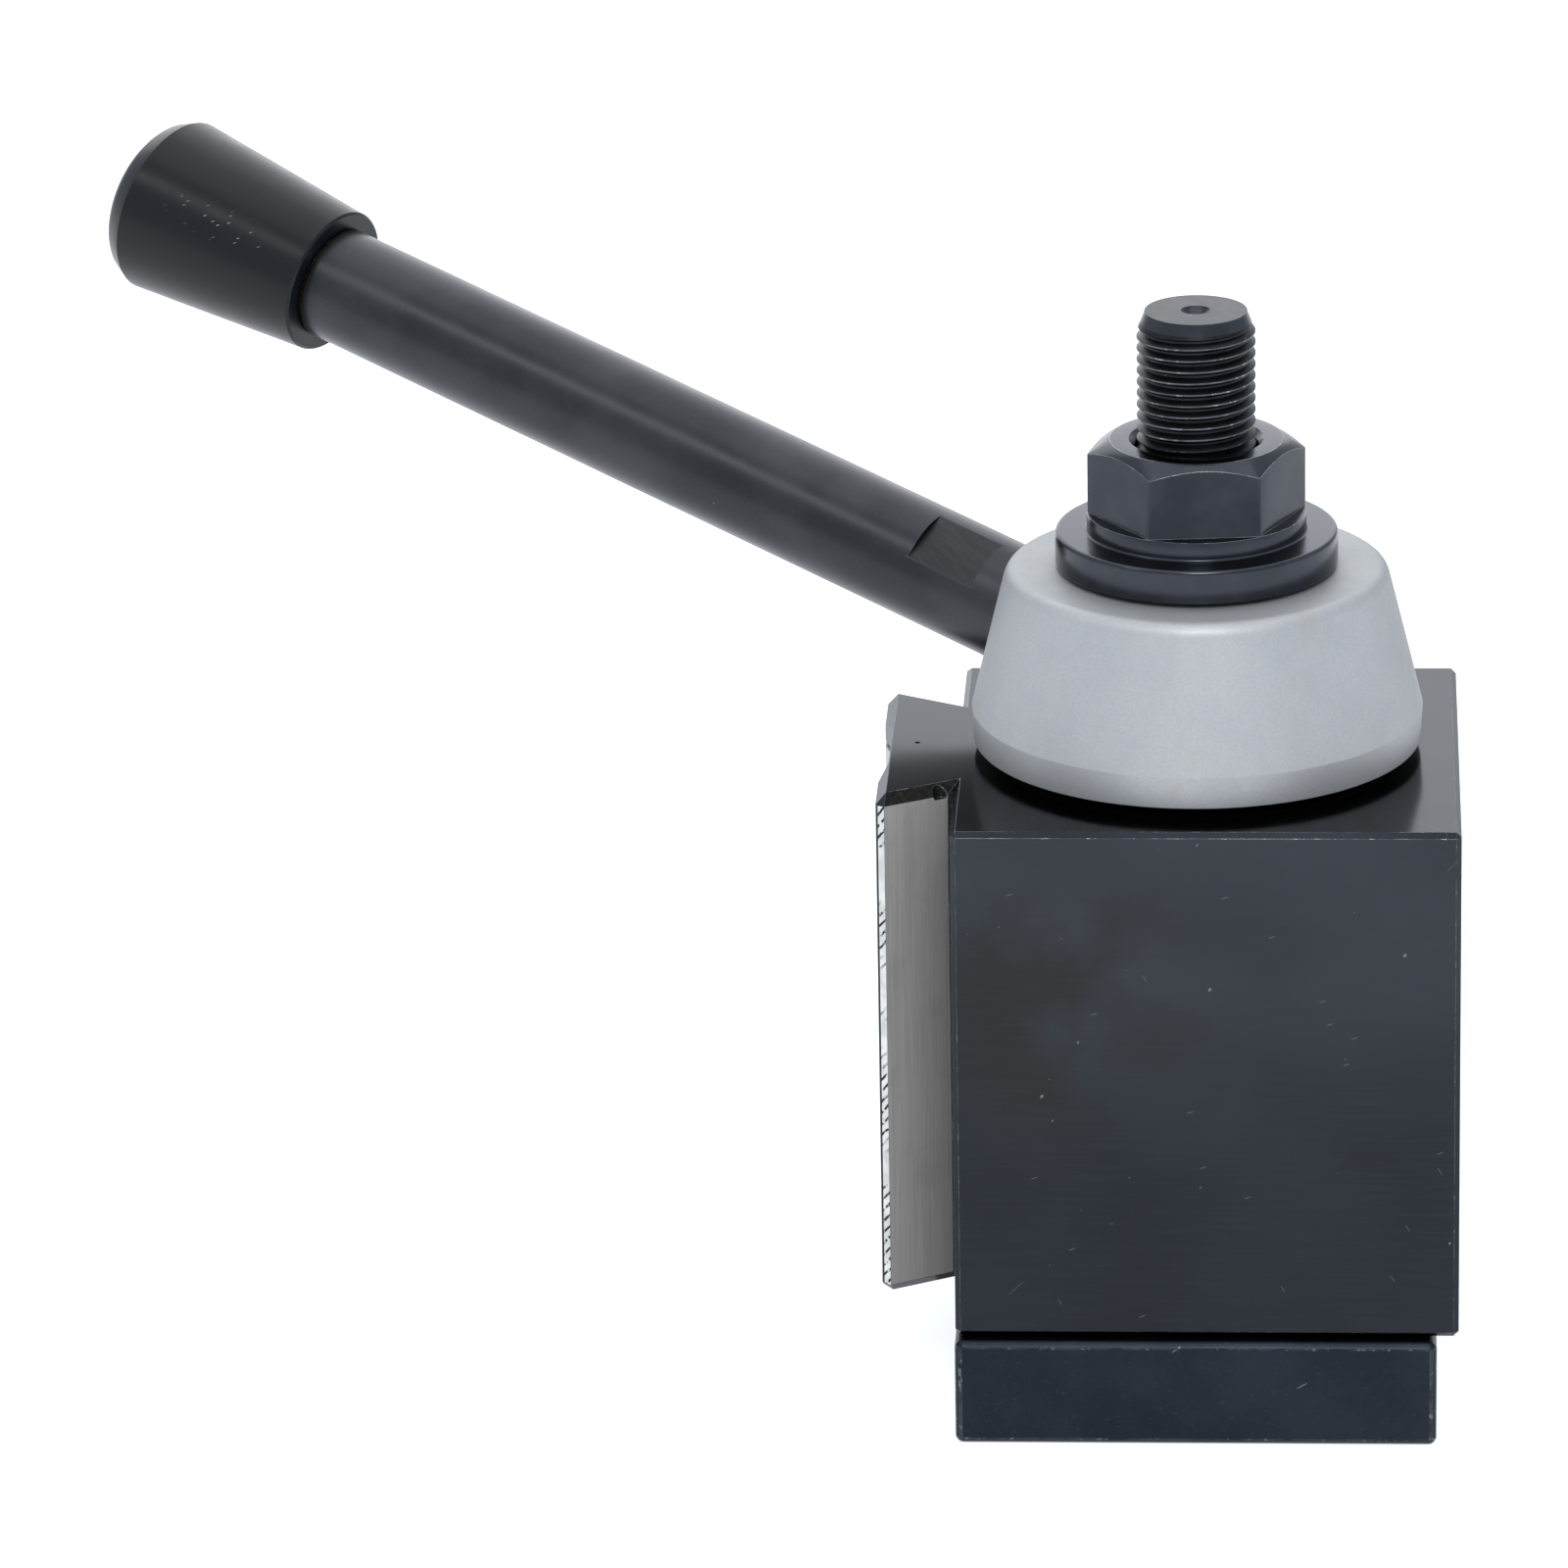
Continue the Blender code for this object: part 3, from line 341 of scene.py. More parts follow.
# at a glancing view oiled oxide and a blasted surface mirror less than clean smooth metal does
OXIDE_TINT = (0.8, 0.8, 0.8, 1)
OILED_TINT = (0.88, 0.88, 0.88, 1)
SATIN_TINT = (0.42, 0.42, 0.42, 1)


def linear(hex_colour):
    """An sRGB hex colour as linear red, green, blue and alpha."""
    parts = [int(hex_colour[place:place + 2], 16) / 255 for place in (1, 3, 5)]
    return (*[part / 12.92 if part <= 0.04045 else ((part + 0.055) / 1.055) ** 2.4 for part in parts], 1.0)


def add(finish, kind, settings=None, links=None):
    """Adds a node, gives it settings by name or socket, and links other nodes' outputs to its sockets."""
    node = finish.node_tree.nodes.new(kind)
    for name, value in (settings or {}).items():
        if isinstance(name, str) and hasattr(node, name):
            setattr(node, name, value)
        else:
            node.inputs[name].default_value = value
    for socket, source in (links or {}).items():
        finish.node_tree.links.new(source, node.inputs[socket])
    return node


def new_finish(name, metallic, roughness, colour, sockets=None):
    """A material of one colour, with more sockets set by name, and the place that its patterns read."""
    finish = bpy.data.materials.new(name)
    finish.use_nodes = True
    shader = finish.node_tree.nodes["Principled BSDF"]
    values = {"Metallic": metallic, "Roughness": roughness, "Base Color": linear(colour)}
    for socket, value in (values | (sockets or {})).items():
        shader.inputs[socket].default_value = value
    return finish, add(finish, "ShaderNodeTexCoord").outputs["Object"]


def finished(finish, colour, relief=None, depth=0.0, gloss=None):
    """Gives a finish its colour, a relief of a depth, and a roughness that wanders with a pattern between
    two values."""
    joined = {"Base Color": colour}
    if relief is not None:
        bump = add(finish, "ShaderNodeBump", {"Distance": depth, "Strength": 1.0}, {"Height": relief})
        joined["Normal"] = bump.outputs[0]
    if gloss is not None:
        pattern, smooth, rough = gloss
        settings = {1: NOISE_LOW, 2: NOISE_HIGH, 3: smooth, 4: rough, "interpolation_type": "SMOOTHSTEP"}
        joined["Roughness"] = add(finish, "ShaderNodeMapRange", settings, {0: pattern}).outputs[0]
    shader = finish.node_tree.nodes["Principled BSDF"]
    for socket, output in joined.items():
        finish.node_tree.links.new(output, shader.inputs[socket])
    return finish


def grain(finish, place, size, detail=2.0, rough=0.5, stretch=(1, 1, 1), turn=(0, 0, 0)):
    """Noise whose blotches are about one size across, drawn out along the axes of a turned frame."""
    frame_settings = {"vector_type": "TEXTURE", "Scale": stretch, "Rotation": turn}
    lay = add(finish, "ShaderNodeMapping", frame_settings, {"Vector": place}).outputs[0]
    return add(finish, "ShaderNodeTexNoise", {"Scale": 1 / size, "Detail": detail, "Roughness": rough},
               {"Vector": lay}).outputs[0]


def share_of(finish, strength, *rises):
    """How far several patterns hold at once, up to a strength, which is a number or a node's output. Each
    rise is a pattern with the values at which it starts and is full."""
    share = strength
    for pattern, start, full in rises:
        settings = {1: start, 2: full, "interpolation_type": "SMOOTHSTEP"}
        links = {0: pattern}
        if isinstance(share, (int, float)):
            settings[4] = share
        else:
            links[4] = share
        share = add(finish, "ShaderNodeMapRange", settings, links).outputs[0]
    return share


def tinted(finish, under, over, strength, *rises):
    """Lays one colour over another, each a hex colour or a node's output, as far as the rises hold."""
    settings = {"data_type": "RGBA"}
    links = {0: share_of(finish, strength, *rises)}
    for socket, colour in ((6, under), (7, over)):
        if isinstance(colour, str):
            settings[socket] = linear(colour)
        else:
            links[socket] = colour
    return add(finish, "ShaderNodeMix", settings, links).outputs[2]


def marks(finish, place, dimensions, stretch, turn, spacing, size, core, left_out, strength):
    """Separate marks of a size, at most one in each cell of a spacing, drawn out in a turned frame."""
    frame_settings = {"vector_type": "TEXTURE", "Scale": stretch, "Rotation": turn}
    lay = add(finish, "ShaderNodeMapping", frame_settings, {"Vector": place}).outputs[0]
    cells = add(finish, "ShaderNodeTexVoronoi", {"voronoi_dimensions": dimensions, "Scale": 1 / spacing},
                {"Vector": lay})
    reach = size / 2 / spacing
    return share_of(finish, strength, (cells.outputs["Distance"], reach, reach * core),
                    (cells.outputs["Color"], left_out, left_out + KEPT_STEP))


def nicks(finish, place, strength, spacing, size, longer=1.0, turn=(0, 0, 0), left_out=0.5):
    """Small marks through the depth of the piece, drawn out along their own Z."""
    return marks(finish, place, "3D", (1, 1, longer), turn, spacing, size, NICK_CORE, left_out, strength)


def scratches(finish, place, strength, slant, spacing, size, longer, left_out, turn=UPRIGHT_SIDES):
    """Flat marks, seen along a turn's third axis, drawn out along its second and slanted by an angle."""
    lean = turn @ Matrix.Rotation(slant, 3, "Z")
    return marks(finish, place, "2D", (1, longer, 1), lean.to_euler(), spacing, size, SCRATCH_CORE, left_out,
                 strength)


def near(finish, place, middle, reach, strength):
    """A strength round the middle of a place, which fades to nought at its reach."""
    away = add(finish, "ShaderNodeVectorMath", {"operation": "DISTANCE", 1: middle}, {0: place})
    return share_of(finish, strength, (away.outputs["Value"], reach, reach * PLACE_CORE))


def black_oxide_ground_steel():
    """Ground steel, blackened in a hot bath: a smooth blue black that mirrors softly, with painted shade
    that darkens it towards the bottom, a brown cloud on the front face, level grinding lines and a few
    bright nicks and hair scratches."""
    finish, place = new_finish("black_oxide_on_ground_steel", 1.0, 0.16, "#30343a",
                               {"Specular Tint": OXIDE_TINT})
    clouds = grain(finish, place, 34 * MM, 3.0)
    stain = grain(finish, place, 20 * MM, 3.0)
    grind = grain(finish, place, 0.35 * MM, stretch=(30, 30, 1))
    # painted shade: the colour grows darker towards the block's bottom and lighter towards its top
    height = add(finish, "ShaderNodeSeparateXYZ", links={"Vector": place}).outputs["Z"]
    rise = (height, BLOCK_LOW.z + 12 * MM, BLOCK_TOP)
    shaded_dark_tone = tinted(finish, "#26292c", "#33363a", 1.0, rise)
    shaded_light_tone = tinted(finish, "#2a2d31", "#383b3f", 1.0, rise)
    colour = tinted(finish, shaded_dark_tone, shaded_light_tone, 1.0, (clouds, 0.35, 0.65))
    stained = near(finish, place, STAIN_PLACE, STAIN_REACH, 0.7)
    colour = tinted(finish, colour, "#2a2928", stained, (stain, 0.36, 0.62))
    colour = tinted(finish, colour, "#3f444b", 0.08, (grind, 0.35, 0.75))
    dents = nicks(finish, place, 0.7, spacing=4.4 * MM, size=0.5 * MM, longer=1.6, turn=(0.3, 0.5, 0.2),
                  left_out=0.45)
    colour = tinted(finish, colour, "#77797a", dents)
    specks = nicks(finish, place, 0.5, spacing=2.4 * MM, size=0.26 * MM)
    colour = tinted(finish, colour, "#6d7073", specks)
    hairs = scratches(finish, place, 0.35, math.radians(-38), spacing=2.6 * MM, size=0.11 * MM, longer=34.0,
                      left_out=0.56)
    colour = tinted(finish, colour, "#6a6e72", hairs)
    scuffs = scratches(finish, place, 0.45, math.radians(-64), spacing=3.0 * MM, size=0.15 * MM, longer=7.0,
                       left_out=0.7)
    colour = tinted(finish, colour, "#76797c", scuffs)
    scores = scratches(finish, place, 0.35, math.radians(22), spacing=4.0 * MM, size=0.14 * MM, longer=11.0,
                       left_out=0.66)
    colour = tinted(finish, colour, "#6c6f73", scores)
    return finished(finish, colour, relief=grind, depth=0.001 * MM, gloss=(clouds, 0.13, 0.19))


def black_oxide_milled_steel():
    """Milled steel, blackened: nearly black, with slanting cutter marks and nicks that catch the light."""
    finish, place = new_finish("black_oxide_on_milled_steel", 1.0, 0.36, "#252a31")
    cutter = grain(finish, place, 0.45 * MM, 3.0, stretch=(1, 14, 1), turn=(0, 0, math.radians(52)))
    clouds = grain(finish, place, 16 * MM, 4.0, 0.6)
    colour = tinted(finish, "#22272d", "#292e35", 1.0, (clouds, 0.35, 0.7))
    colour = tinted(finish, colour, "#3f444b", 0.22, (cutter, 0.6, 0.72))
    chips = nicks(finish, place, 0.8, spacing=5.0 * MM, size=0.6 * MM, longer=1.8, turn=(0.4, 0.9, 0.1),
                  left_out=0.45)
    colour = tinted(finish, colour, "#7b7c7c", chips)
    scrapes = scratches(finish, place, 0.7, math.radians(-50), spacing=4.0 * MM, size=0.2 * MM, longer=9.0,
                        left_out=0.6)
    colour = tinted(finish, colour, "#7c7f82", scrapes)
    return finished(finish, colour, relief=cutter, depth=0.012 * MM)


def worn_and_highlit_edge_steel(name, covered, thin, bright):
    """Edges where the oxide has rubbed thin, and painted lighter too as a painted edge highlight: a faint
    grey line, broken by small bright spots.
    """
    finish, place = new_finish(name, 1.0, 0.32, thin)
    line = grain(finish, place, 5 * MM, 4.0, 0.6)
    spots = grain(finish, place, 1.1 * MM, 3.0, 0.6)
    colour = tinted(finish, covered, thin, 1.0, (line, 0.35, 0.62))
    return finished(finish, tinted(finish, colour, bright, 0.8, (spots, 0.56, 0.66)))


def black_oxide_rough_chamfer():
    """A rough-milled chamfer, blackened: warm near-black with a dusty, pitted grain."""
    finish, place = new_finish("black_oxide_on_rough_chamfer", 1.0, 0.62, "#272624")
    pits = grain(finish, place, 0.55 * MM, 4.0, 0.7)
    dust = grain(finish, place, 0.9 * MM, 3.0, 0.6)
    colour = tinted(finish, "#1e1d1c", "#302f2d", 1.0, (pits, 0.35, 0.7))
    colour = tinted(finish, colour, "#5a5853", 0.4, (dust, 0.6, 0.7))
    return finished(finish, colour, relief=pits, depth=0.12 * MM)


def bare_ground_steel():
    """Bare steel off the surface grinder: its fine upright lines scatter the light like a matt grey, so that
    it counts as only partly metallic, with broad faint streaks and a few dark dots."""
    finish, place = new_finish("bare_ground_steel", 0.55, 0.5, "#b8b5b1")
    fine = grain(finish, place, 0.28 * MM, 3.0, 0.6, stretch=(1, 1, 60))
    broad = grain(finish, place, 1.9 * MM, stretch=(1, 1, 30))
    stain = grain(finish, place, 8 * MM, 4.0, 0.6)
    colour = tinted(finish, "#b1aeaa", "#c0bdb9", 1.0, (fine, 0.3, 0.7))
    colour = tinted(finish, colour, "#a09d98", 0.35, (broad, 0.4, 0.7))
    colour = tinted(finish, colour, "#8f897f", 0.2, (stain, 0.52, 0.74))
    dots = nicks(finish, place, 0.5, spacing=3.5 * MM, size=0.25 * MM, longer=1.4, left_out=0.6)
    colour = tinted(finish, colour, "#57544f", dots)
    return finished(finish, colour, relief=fine, depth=0.003 * MM, gloss=(broad, 0.44, 0.56))


def cutter_marked_steel():
    """A bright corner strip where short slanting cutter marks still hold black oxide, in groups."""
    finish, place = new_finish("bright_milled_strip", 0.7, 0.42, "#d2d1cc")
    slant = add(finish, "ShaderNodeMapping",
                {"vector_type": "TEXTURE", "Rotation": (0, math.radians(-52), 0)},
                {"Vector": place})
    lines = add(finish, "ShaderNodeTexWave",
                {"bands_direction": "Z", "Scale": WAVE_PERIOD / (1.1 * MM), "Distortion": 1.6, "Detail": 2.0,
                 "Detail Scale": 1.3},
                {"Vector": slant.outputs[0]})
    groups = grain(finish, place, 8 * MM, stretch=(4, 4, 1))
    breaks = grain(finish, place, 0.8 * MM)
    shown = share_of(finish, 1.0, (lines.outputs[1], 0.74, 0.86), (groups, 0.44, 0.54), (breaks, 0.36, 0.5))
    clean = tinted(finish, "#bdbcb7", "#d4d3ce", 1.0, (grain(finish, place, 3 * MM, 3.0), 0.35, 0.65))
    return finished(finish, tinted(finish, clean, "#2b2d30", shown), relief=shown, depth=-0.06 * MM)


def satin_plated_steel():
    """Steel, fine blasted and satin plated: a powdery silver grey that scatters part of the light like a
    matt coat, so that it counts as only partly metallic, with brownish smudges and a few dark specks."""
    finish, place = new_finish("satin_plated_steel", 0.7, 0.5, "#b6b7b8", {"Specular Tint": SATIN_TINT})
    blast = grain(finish, place, 0.4 * MM, 3.0, 0.7)
    clouds = grain(finish, place, 11 * MM, 4.0, 0.6)
    smudges = grain(finish, place, 6 * MM, 3.0, 0.6, stretch=(1, 1, 2.5))
    colour = tinted(finish, "#a7a9aa", "#b0b2b3", 1.0, (blast, 0.3, 0.7))
    colour = tinted(finish, colour, "#9fa2a4", 0.3, (clouds, 0.4, 0.72))
    colour = tinted(finish, colour, "#a5a39c", 0.3, (smudges, 0.56, 0.72))
    specks = nicks(finish, place, 0.5, spacing=4.5 * MM, size=0.3 * MM, left_out=0.62)
    colour = tinted(finish, colour, "#6c7073", specks)
    return finished(finish, colour, relief=blast, depth=0.005 * MM, gloss=(clouds, 0.5, 0.58))


def black_oxide_turned_steel():
    """Turned and blackened bar: dark grey, with a soft, slightly grainy highlight along the bar."""
    finish, place = new_finish("black_oxide_on_turned_steel", 1.0, 0.3, "#3c3b3e")
    fine = grain(finish, place, 0.45 * MM, 3.0, 0.65)
    clouds = grain(finish, place, 14 * MM, 3.0)
    colour = tinted(finish, "#37383b", "#3f4143", 1.0, (clouds, 0.35, 0.7))
    colour = tinted(finish, colour, "#505054", 0.22, (fine, 0.5, 0.8))
    dents = nicks(finish, place, 0.4, spacing=6 * MM, size=0.3 * MM, longer=2.5, turn=(0.5, 0.9, 0),
                  left_out=0.55)
    colour = tinted(finish, colour, "#68686b", dents)
    return finished(finish, colour, relief=fine, depth=0.009 * MM, gloss=(clouds, 0.31, 0.37))


def black_oxide_flat_steel():
    """The lever's wrench flats: matt, with faint cutter swirls and a brown tinge where the oil has dried."""
    finish, place = new_finish("black_oxide_on_wrench_flat", 1.0, 0.46, "#3c3c3e")
    swirl = grain(finish, place, 0.5 * MM, 3.0, stretch=(1, 10, 1), turn=(0.4, 0.3, 0.9))
    tinge = grain(finish, place, 7 * MM, 3.0)
    colour = tinted(finish, "#363739", "#3c3d3f", 1.0, (swirl, 0.3, 0.7))
    colour = tinted(finish, colour, "#3a3632", 0.3, (tinge, 0.4, 0.65))
    return finished(finish, colour, relief=swirl, depth=0.008 * MM)


def oiled_black_steel():
    """Blackened and oiled nut and screws: a smooth blue black with a low gloss."""
    finish, place = new_finish("oiled_black_steel", 1.0, 0.2, "#3c3f44", {"Specular Tint": OILED_TINT})
    clouds = grain(finish, place, 7 * MM, 4.0, 0.6)
    fine = grain(finish, place, 0.5 * MM)
    colour = tinted(finish, "#393c41", "#404348", 1.0, (clouds, 0.35, 0.7))
    specks = nicks(finish, place, 0.4, spacing=3.0 * MM, size=0.25 * MM, left_out=0.55)
    colour = tinted(finish, colour, "#85888b", specks)
    return finished(finish, colour, relief=fine, depth=0.002 * MM, gloss=(clouds, 0.18, 0.25))


def black_oxide_cut_steel(name, dark, light):
    """Steel blackened as the tool left it, on the stud's thread and end: matt and nearly black, with a fine
    grain."""
    finish, place = new_finish(name, 1.0, 0.4, dark)
    clouds = grain(finish, place, 3 * MM, 4.0, 0.6)
    colour = tinted(finish, dark, light, 1.0, (clouds, 0.35, 0.7))
    specks = nicks(finish, place, 0.5, spacing=2.0 * MM, size=0.3 * MM, left_out=0.6)
    colour = tinted(finish, colour, "#85888b", specks)
    return finished(finish, colour, relief=grain(finish, place, 0.35 * MM), depth=0.01 * MM)


def satin_phenolic():
    """Moulded black phenolic: deep blue black under a soft gloss, with fine handling scratches painted
    bright only in a streak along its front, where its highlight runs, as painted glints."""
    finish, place = new_finish("satin_black_phenolic", 0.0, 0.3, "#0a0d12",
                               {"IOR": 1.5, "Specular IOR Level": 0.25})
    along = along_lever().to_3x3().col[2]
    across = along.cross(HIGHLIGHT_WAY).normalized()
    turn = Matrix((across, along, across.cross(along))).transposed()
    on_axis = along_lever() @ Vector((0, 0, LEVER_END + KNOB_LENGTH * GLINT_SHARE))
    middle = turn.transposed() @ (on_axis + HIGHLIGHT_WAY * KNOB_SMALL_RADIUS)
    middle.y /= GLINT_STRETCH
    streak = add(finish, "ShaderNodeMapping",
                 {"vector_type": "TEXTURE", "Scale": (1, GLINT_STRETCH, 1), "Rotation": turn.to_euler()},
                 {"Vector": place})
    # painted glints: the scratches are painted bright only in a band along the knob's highlight line
    band = near(finish, streak.outputs[0], middle, GLINT_REACH, 0.8)
    scratch_glints = scratches(finish, place, band, math.radians(35), spacing=0.62 * MM, size=0.12 * MM, longer=6.0,
                     left_out=0.5, turn=turn)
    haze = grain(finish, place, 8 * MM, 4.0, 0.6)
    return finished(finish, tinted(finish, "#0a0d12", "#b4b8bc", scratch_glints), gloss=(haze, 0.27, 0.34))


def turned_metal(name, low, high, roughness):
    """Metal off the lathe: one colour with fine level rings."""
    finish, place = new_finish(name, 1.0, roughness, low)
    rings = grain(finish, place, 0.3 * MM, stretch=(20, 20, 1))
    colour = tinted(finish, low, high, 1.0, (rings, 0.3, 0.7))
    return finished(finish, colour, relief=rings, depth=0.006 * MM)


def moulded_rubber():
    """Black nitrile rubber: matt, with a faint grain."""
    finish, place = new_finish("moulded_black_rubber", 0.0, 0.75, "#1c1c1d")
    fine = grain(finish, place, 0.3 * MM)
    colour = tinted(finish, "#18181a", "#232325", 1.0, (fine, 0.3, 0.7))
    return finished(finish, colour, relief=fine, depth=0.01 * MM)


# Pieces

# places in each piece's list of finishes: the block and gibs, the T-nut and nut, the lever, the stud
OXIDE, GROUND, STRIP, WORN_AND_LIT, SCALE = range(5)
PLAIN, EDGES = range(2)
BAR, WRENCH_FLAT = range(2)
SHANK, THREAD, RUBBED_AND_LIT_CRESTS, SAWN_END = range(4)


def face_finish(face):
    """Which finish a face of the block or of a gib has, by where it is and which way it faces."""
    centre = face.calc_center_median()
    outward = Vector((-1, 0, 0)) if -centre.x > centre.y else Vector((0, 1, 0))
    reach = centre.dot(outward)
    lean = face.normal.dot(outward)
    upright = abs(face.normal.z) < UPRIGHT
    if reach < FACE + GAP:
        return OXIDE
    if upright and abs(lean + FLANK_LEAN) < LEAN_PLAY and centre.z < ROOF:
        return GROUND
    if upright and lean > FLANK_LEAN - LEAN_PLAY and reach < FACE + ROOT_REACH:
        return SCALE
    if upright and abs(lean - FLANK_LEAN) < LEAN_PLAY:
        return STRIP if reach > CREST - STRIP_WIDTH else GROUND
    if face.normal.z > CHAMFER_RISE and CHAMFER_LEAN[0] < lean < CHAMFER_LEAN[1]:
        return SCALE
    return OXIDE


def oxide_margins(shape):
    """Rounds the strips' edges along the crests, where the oxide was left on."""
    margins = []
    for edge in shape.edges:
        start, end = (vertex.co for vertex in edge.verts)
        on_crest = all(max(-corner.x, corner.y) > CREST - MERGE for corner in (start, end))
        finishes = {face.material_index for face in edge.link_faces}
        if on_crest and STRIP in finishes and abs(start.z - end.z) > PAST:
            margins.append(edge)
    made = bmesh.ops.bevel(shape, geom=margins, offset=MARGIN, segments=FINE_EDGE_STEPS, profile=0.5,
                           affect="EDGES", material=-1)
    for face in made["faces"]:
        face.material_index = OXIDE


def make_block(finishes):
    """The block, with a cutter's scoop at the dovetail's root and a small drilled dent in its top."""
    shape = cad_copy("post_body")
    scoop = spun([(0, BLOCK_TOP + GAP), (NOTCH_TOP_RADIUS, BLOCK_TOP + GAP),
                  (NOTCH_FLOOR_RADIUS, BLOCK_TOP - NOTCH_DEPTH), (0, BLOCK_TOP - NOTCH_DEPTH)], HOLE_ROUND)
    scoop.transform(Matrix.Translation((*NOTCH_PLACE, 0)))
    dent = rod(DENT_RADIUS, BLOCK_TOP - DENT_DEPTH, BLOCK_TOP + PAST, DENT_ROUND)
    dent.transform(Matrix.Translation((*DENT_PLACE, 0)))
    shape = combined(shape, ("DIFFERENCE", scoop), ("DIFFERENCE", dent))
    bmesh.ops.dissolve_limit(shape, angle_limit=FLAT_ANGLE, verts=shape.verts, edges=shape.edges)
    notch = Vector((*NOTCH_PLACE, 0))
    for face in shape.faces:
        centre = face.calc_center_median()
        in_notch = math.dist(centre.xy, notch.xy) < NOTCH_TOP_RADIUS and centre.z < BLOCK_TOP - MERGE
        on_wall = in_notch and abs(face.normal.z) < LEVEL
        face.material_index = SCALE if on_wall else face_finish(face)
    oxide_margins(shape)
    # the sharp edges get a finish that is worn and also painted lighter as a painted edge highlight
    fine_edges(shape, finish=WORN_AND_LIT)
    return new_piece("blued_block", shape, "post", "blued_steel", finishes, "post_body", smooth=0)


def make_gib(node, name, body, finishes):
    shape = cad_copy(node)
    for face in shape.faces:
        face.material_index = face_finish(face)
    # the sharp edges get a finish that is worn and also painted lighter as a painted edge highlight
    fine_edges(shape, finish=WORN_AND_LIT)
    return new_piece(name, shape, body, "ground_steel", finishes, node, smooth=0)


def make_tnut(finishes):
    """The T-nut. Only its upright edges are worn, and painted lighter too as a painted edge highlight."""
    shape = cad_copy("t_nut")
    fine_edges(shape, TNUT_EDGE, finish=EDGES)
    for face in shape.faces:
        if abs(face.normal.z) > EDGE_RISE:
            face.material_index = PLAIN
    return new_piece("milled_t_nut", shape, "base", "blued_steel", finishes, "t_nut", smooth=0)


def lever_socket():
    past_hub = LEVER_SEAT + HUB_BAND_RADIUS
    socket = spun([(0, past_hub),
                   (LEVER_RADIUS + GAP, past_hub),
                   (LEVER_RADIUS + GAP, LEVER_SEAT - GAP),
                   (LEVER_THREAD_RADIUS + GAP, LEVER_SEAT - GAP),
                   (LEVER_THREAD_RADIUS + GAP, LEVER_SEAT - LEVER_THREAD - 2 * GAP),
                   (0, LEVER_SEAT - LEVER_THREAD - 2 * GAP)])
    socket.transform(along_lever())
    return socket


def make_hub(finish):
    corners = [(HUB_TOP_RADIUS, HUB_TOP, HUB_SHOULDER_EASE),
               (HUB_BAND_RADIUS, HUB_BAND_TOP, HUB_EDGE_EASE),
               (HUB_BOTTOM_RADIUS, HUB_BOTTOM, HUB_EDGE_EASE),
               (HUB_SPIGOT_RADIUS, HUB_BOTTOM, 0),
               (HUB_SPIGOT_RADIUS, HUB_SPIGOT_BOTTOM, 0),
               (JOURNAL_BORE_RADIUS, HUB_SPIGOT_BOTTOM, 0),
               (JOURNAL_BORE_RADIUS, HUB_WEB_BOTTOM, 0),
               (SLEEVE_BORE_RADIUS, HUB_WEB_BOTTOM, 0),
               (SLEEVE_BORE_RADIUS, HUB_TOP, 0)]
    steps = [("DIFFERENCE", lever_socket())]
    for number in (1, 2, 3):
        low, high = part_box(f"hub_screw_{number}")
        middle = (low + high) / 2
        radius = (high.x - low.x) / 2 + GAP
        hole = rod(radius, low.z - GAP, HUB_TOP + PAST, HOLE_ROUND)
        hole.transform(Matrix.Translation((middle.x, middle.y, 0)))
        steps.append(("DIFFERENCE", hole))
    shape = combined(spun(eased(corners)), *steps)
    return new_piece("satin_hub", shape, "handle", "satin_steel", [finish], "clamp_hub")


def make_lever(finishes):
    corners = [(0, LEVER_END + KNOB_STUD, 0),
               (KNOB_STUD_RADIUS - LEVER_EDGE, LEVER_END + KNOB_STUD, 0),
               (KNOB_STUD_RADIUS, LEVER_END + KNOB_STUD - LEVER_EDGE, 0),
               (KNOB_STUD_RADIUS, LEVER_END, 0),
               (LEVER_RADIUS, LEVER_END, LEVER_EASE),
               (LEVER_RADIUS, FLAT_START + FLAT_LENGTH + LEVER_EDGE, 0),
               (LEVER_RADIUS, FLAT_START - LEVER_EDGE, 0),
               (LEVER_RADIUS, LEVER_SEAT, LEVER_EASE),
               (LEVER_THREAD_RADIUS, LEVER_SEAT, 0),
               (LEVER_THREAD_RADIUS, LEVER_SEAT - LEVER_THREAD + LEVER_EDGE, 0),
               (LEVER_THREAD_RADIUS - LEVER_EDGE, LEVER_SEAT - LEVER_THREAD, 0),
               (0, LEVER_SEAT - LEVER_THREAD, 0)]
    steps = []
    ways = []
    for side in (0, math.pi):
        turn = Matrix.Rotation(FLAT_TURN + side, 4, "Z")
        flat = bar((FLAT_DISTANCE, -2 * LEVER_RADIUS, FLAT_START),
                   (2 * LEVER_RADIUS, 2 * LEVER_RADIUS, FLAT_START + FLAT_LENGTH))
        flat.transform(turn)
        steps.append(("DIFFERENCE", flat))
        ways.append(turn @ Vector((1, 0, 0)))
    shape = combined(spun(eased(corners)), *steps)
    for face in shape.faces:
        along = max(face.normal.dot(way) for way in ways)
        reach = max(face.calc_center_median().dot(way) for way in ways)
        on_flat = along > ON_FLAT and reach < FLAT_DISTANCE + GAP
        face.material_index = WRENCH_FLAT if on_flat else BAR
    shape.transform(along_lever())
    return new_piece("blued_lever", shape, "handle", "dark_blued_steel", finishes, "lever_arm")


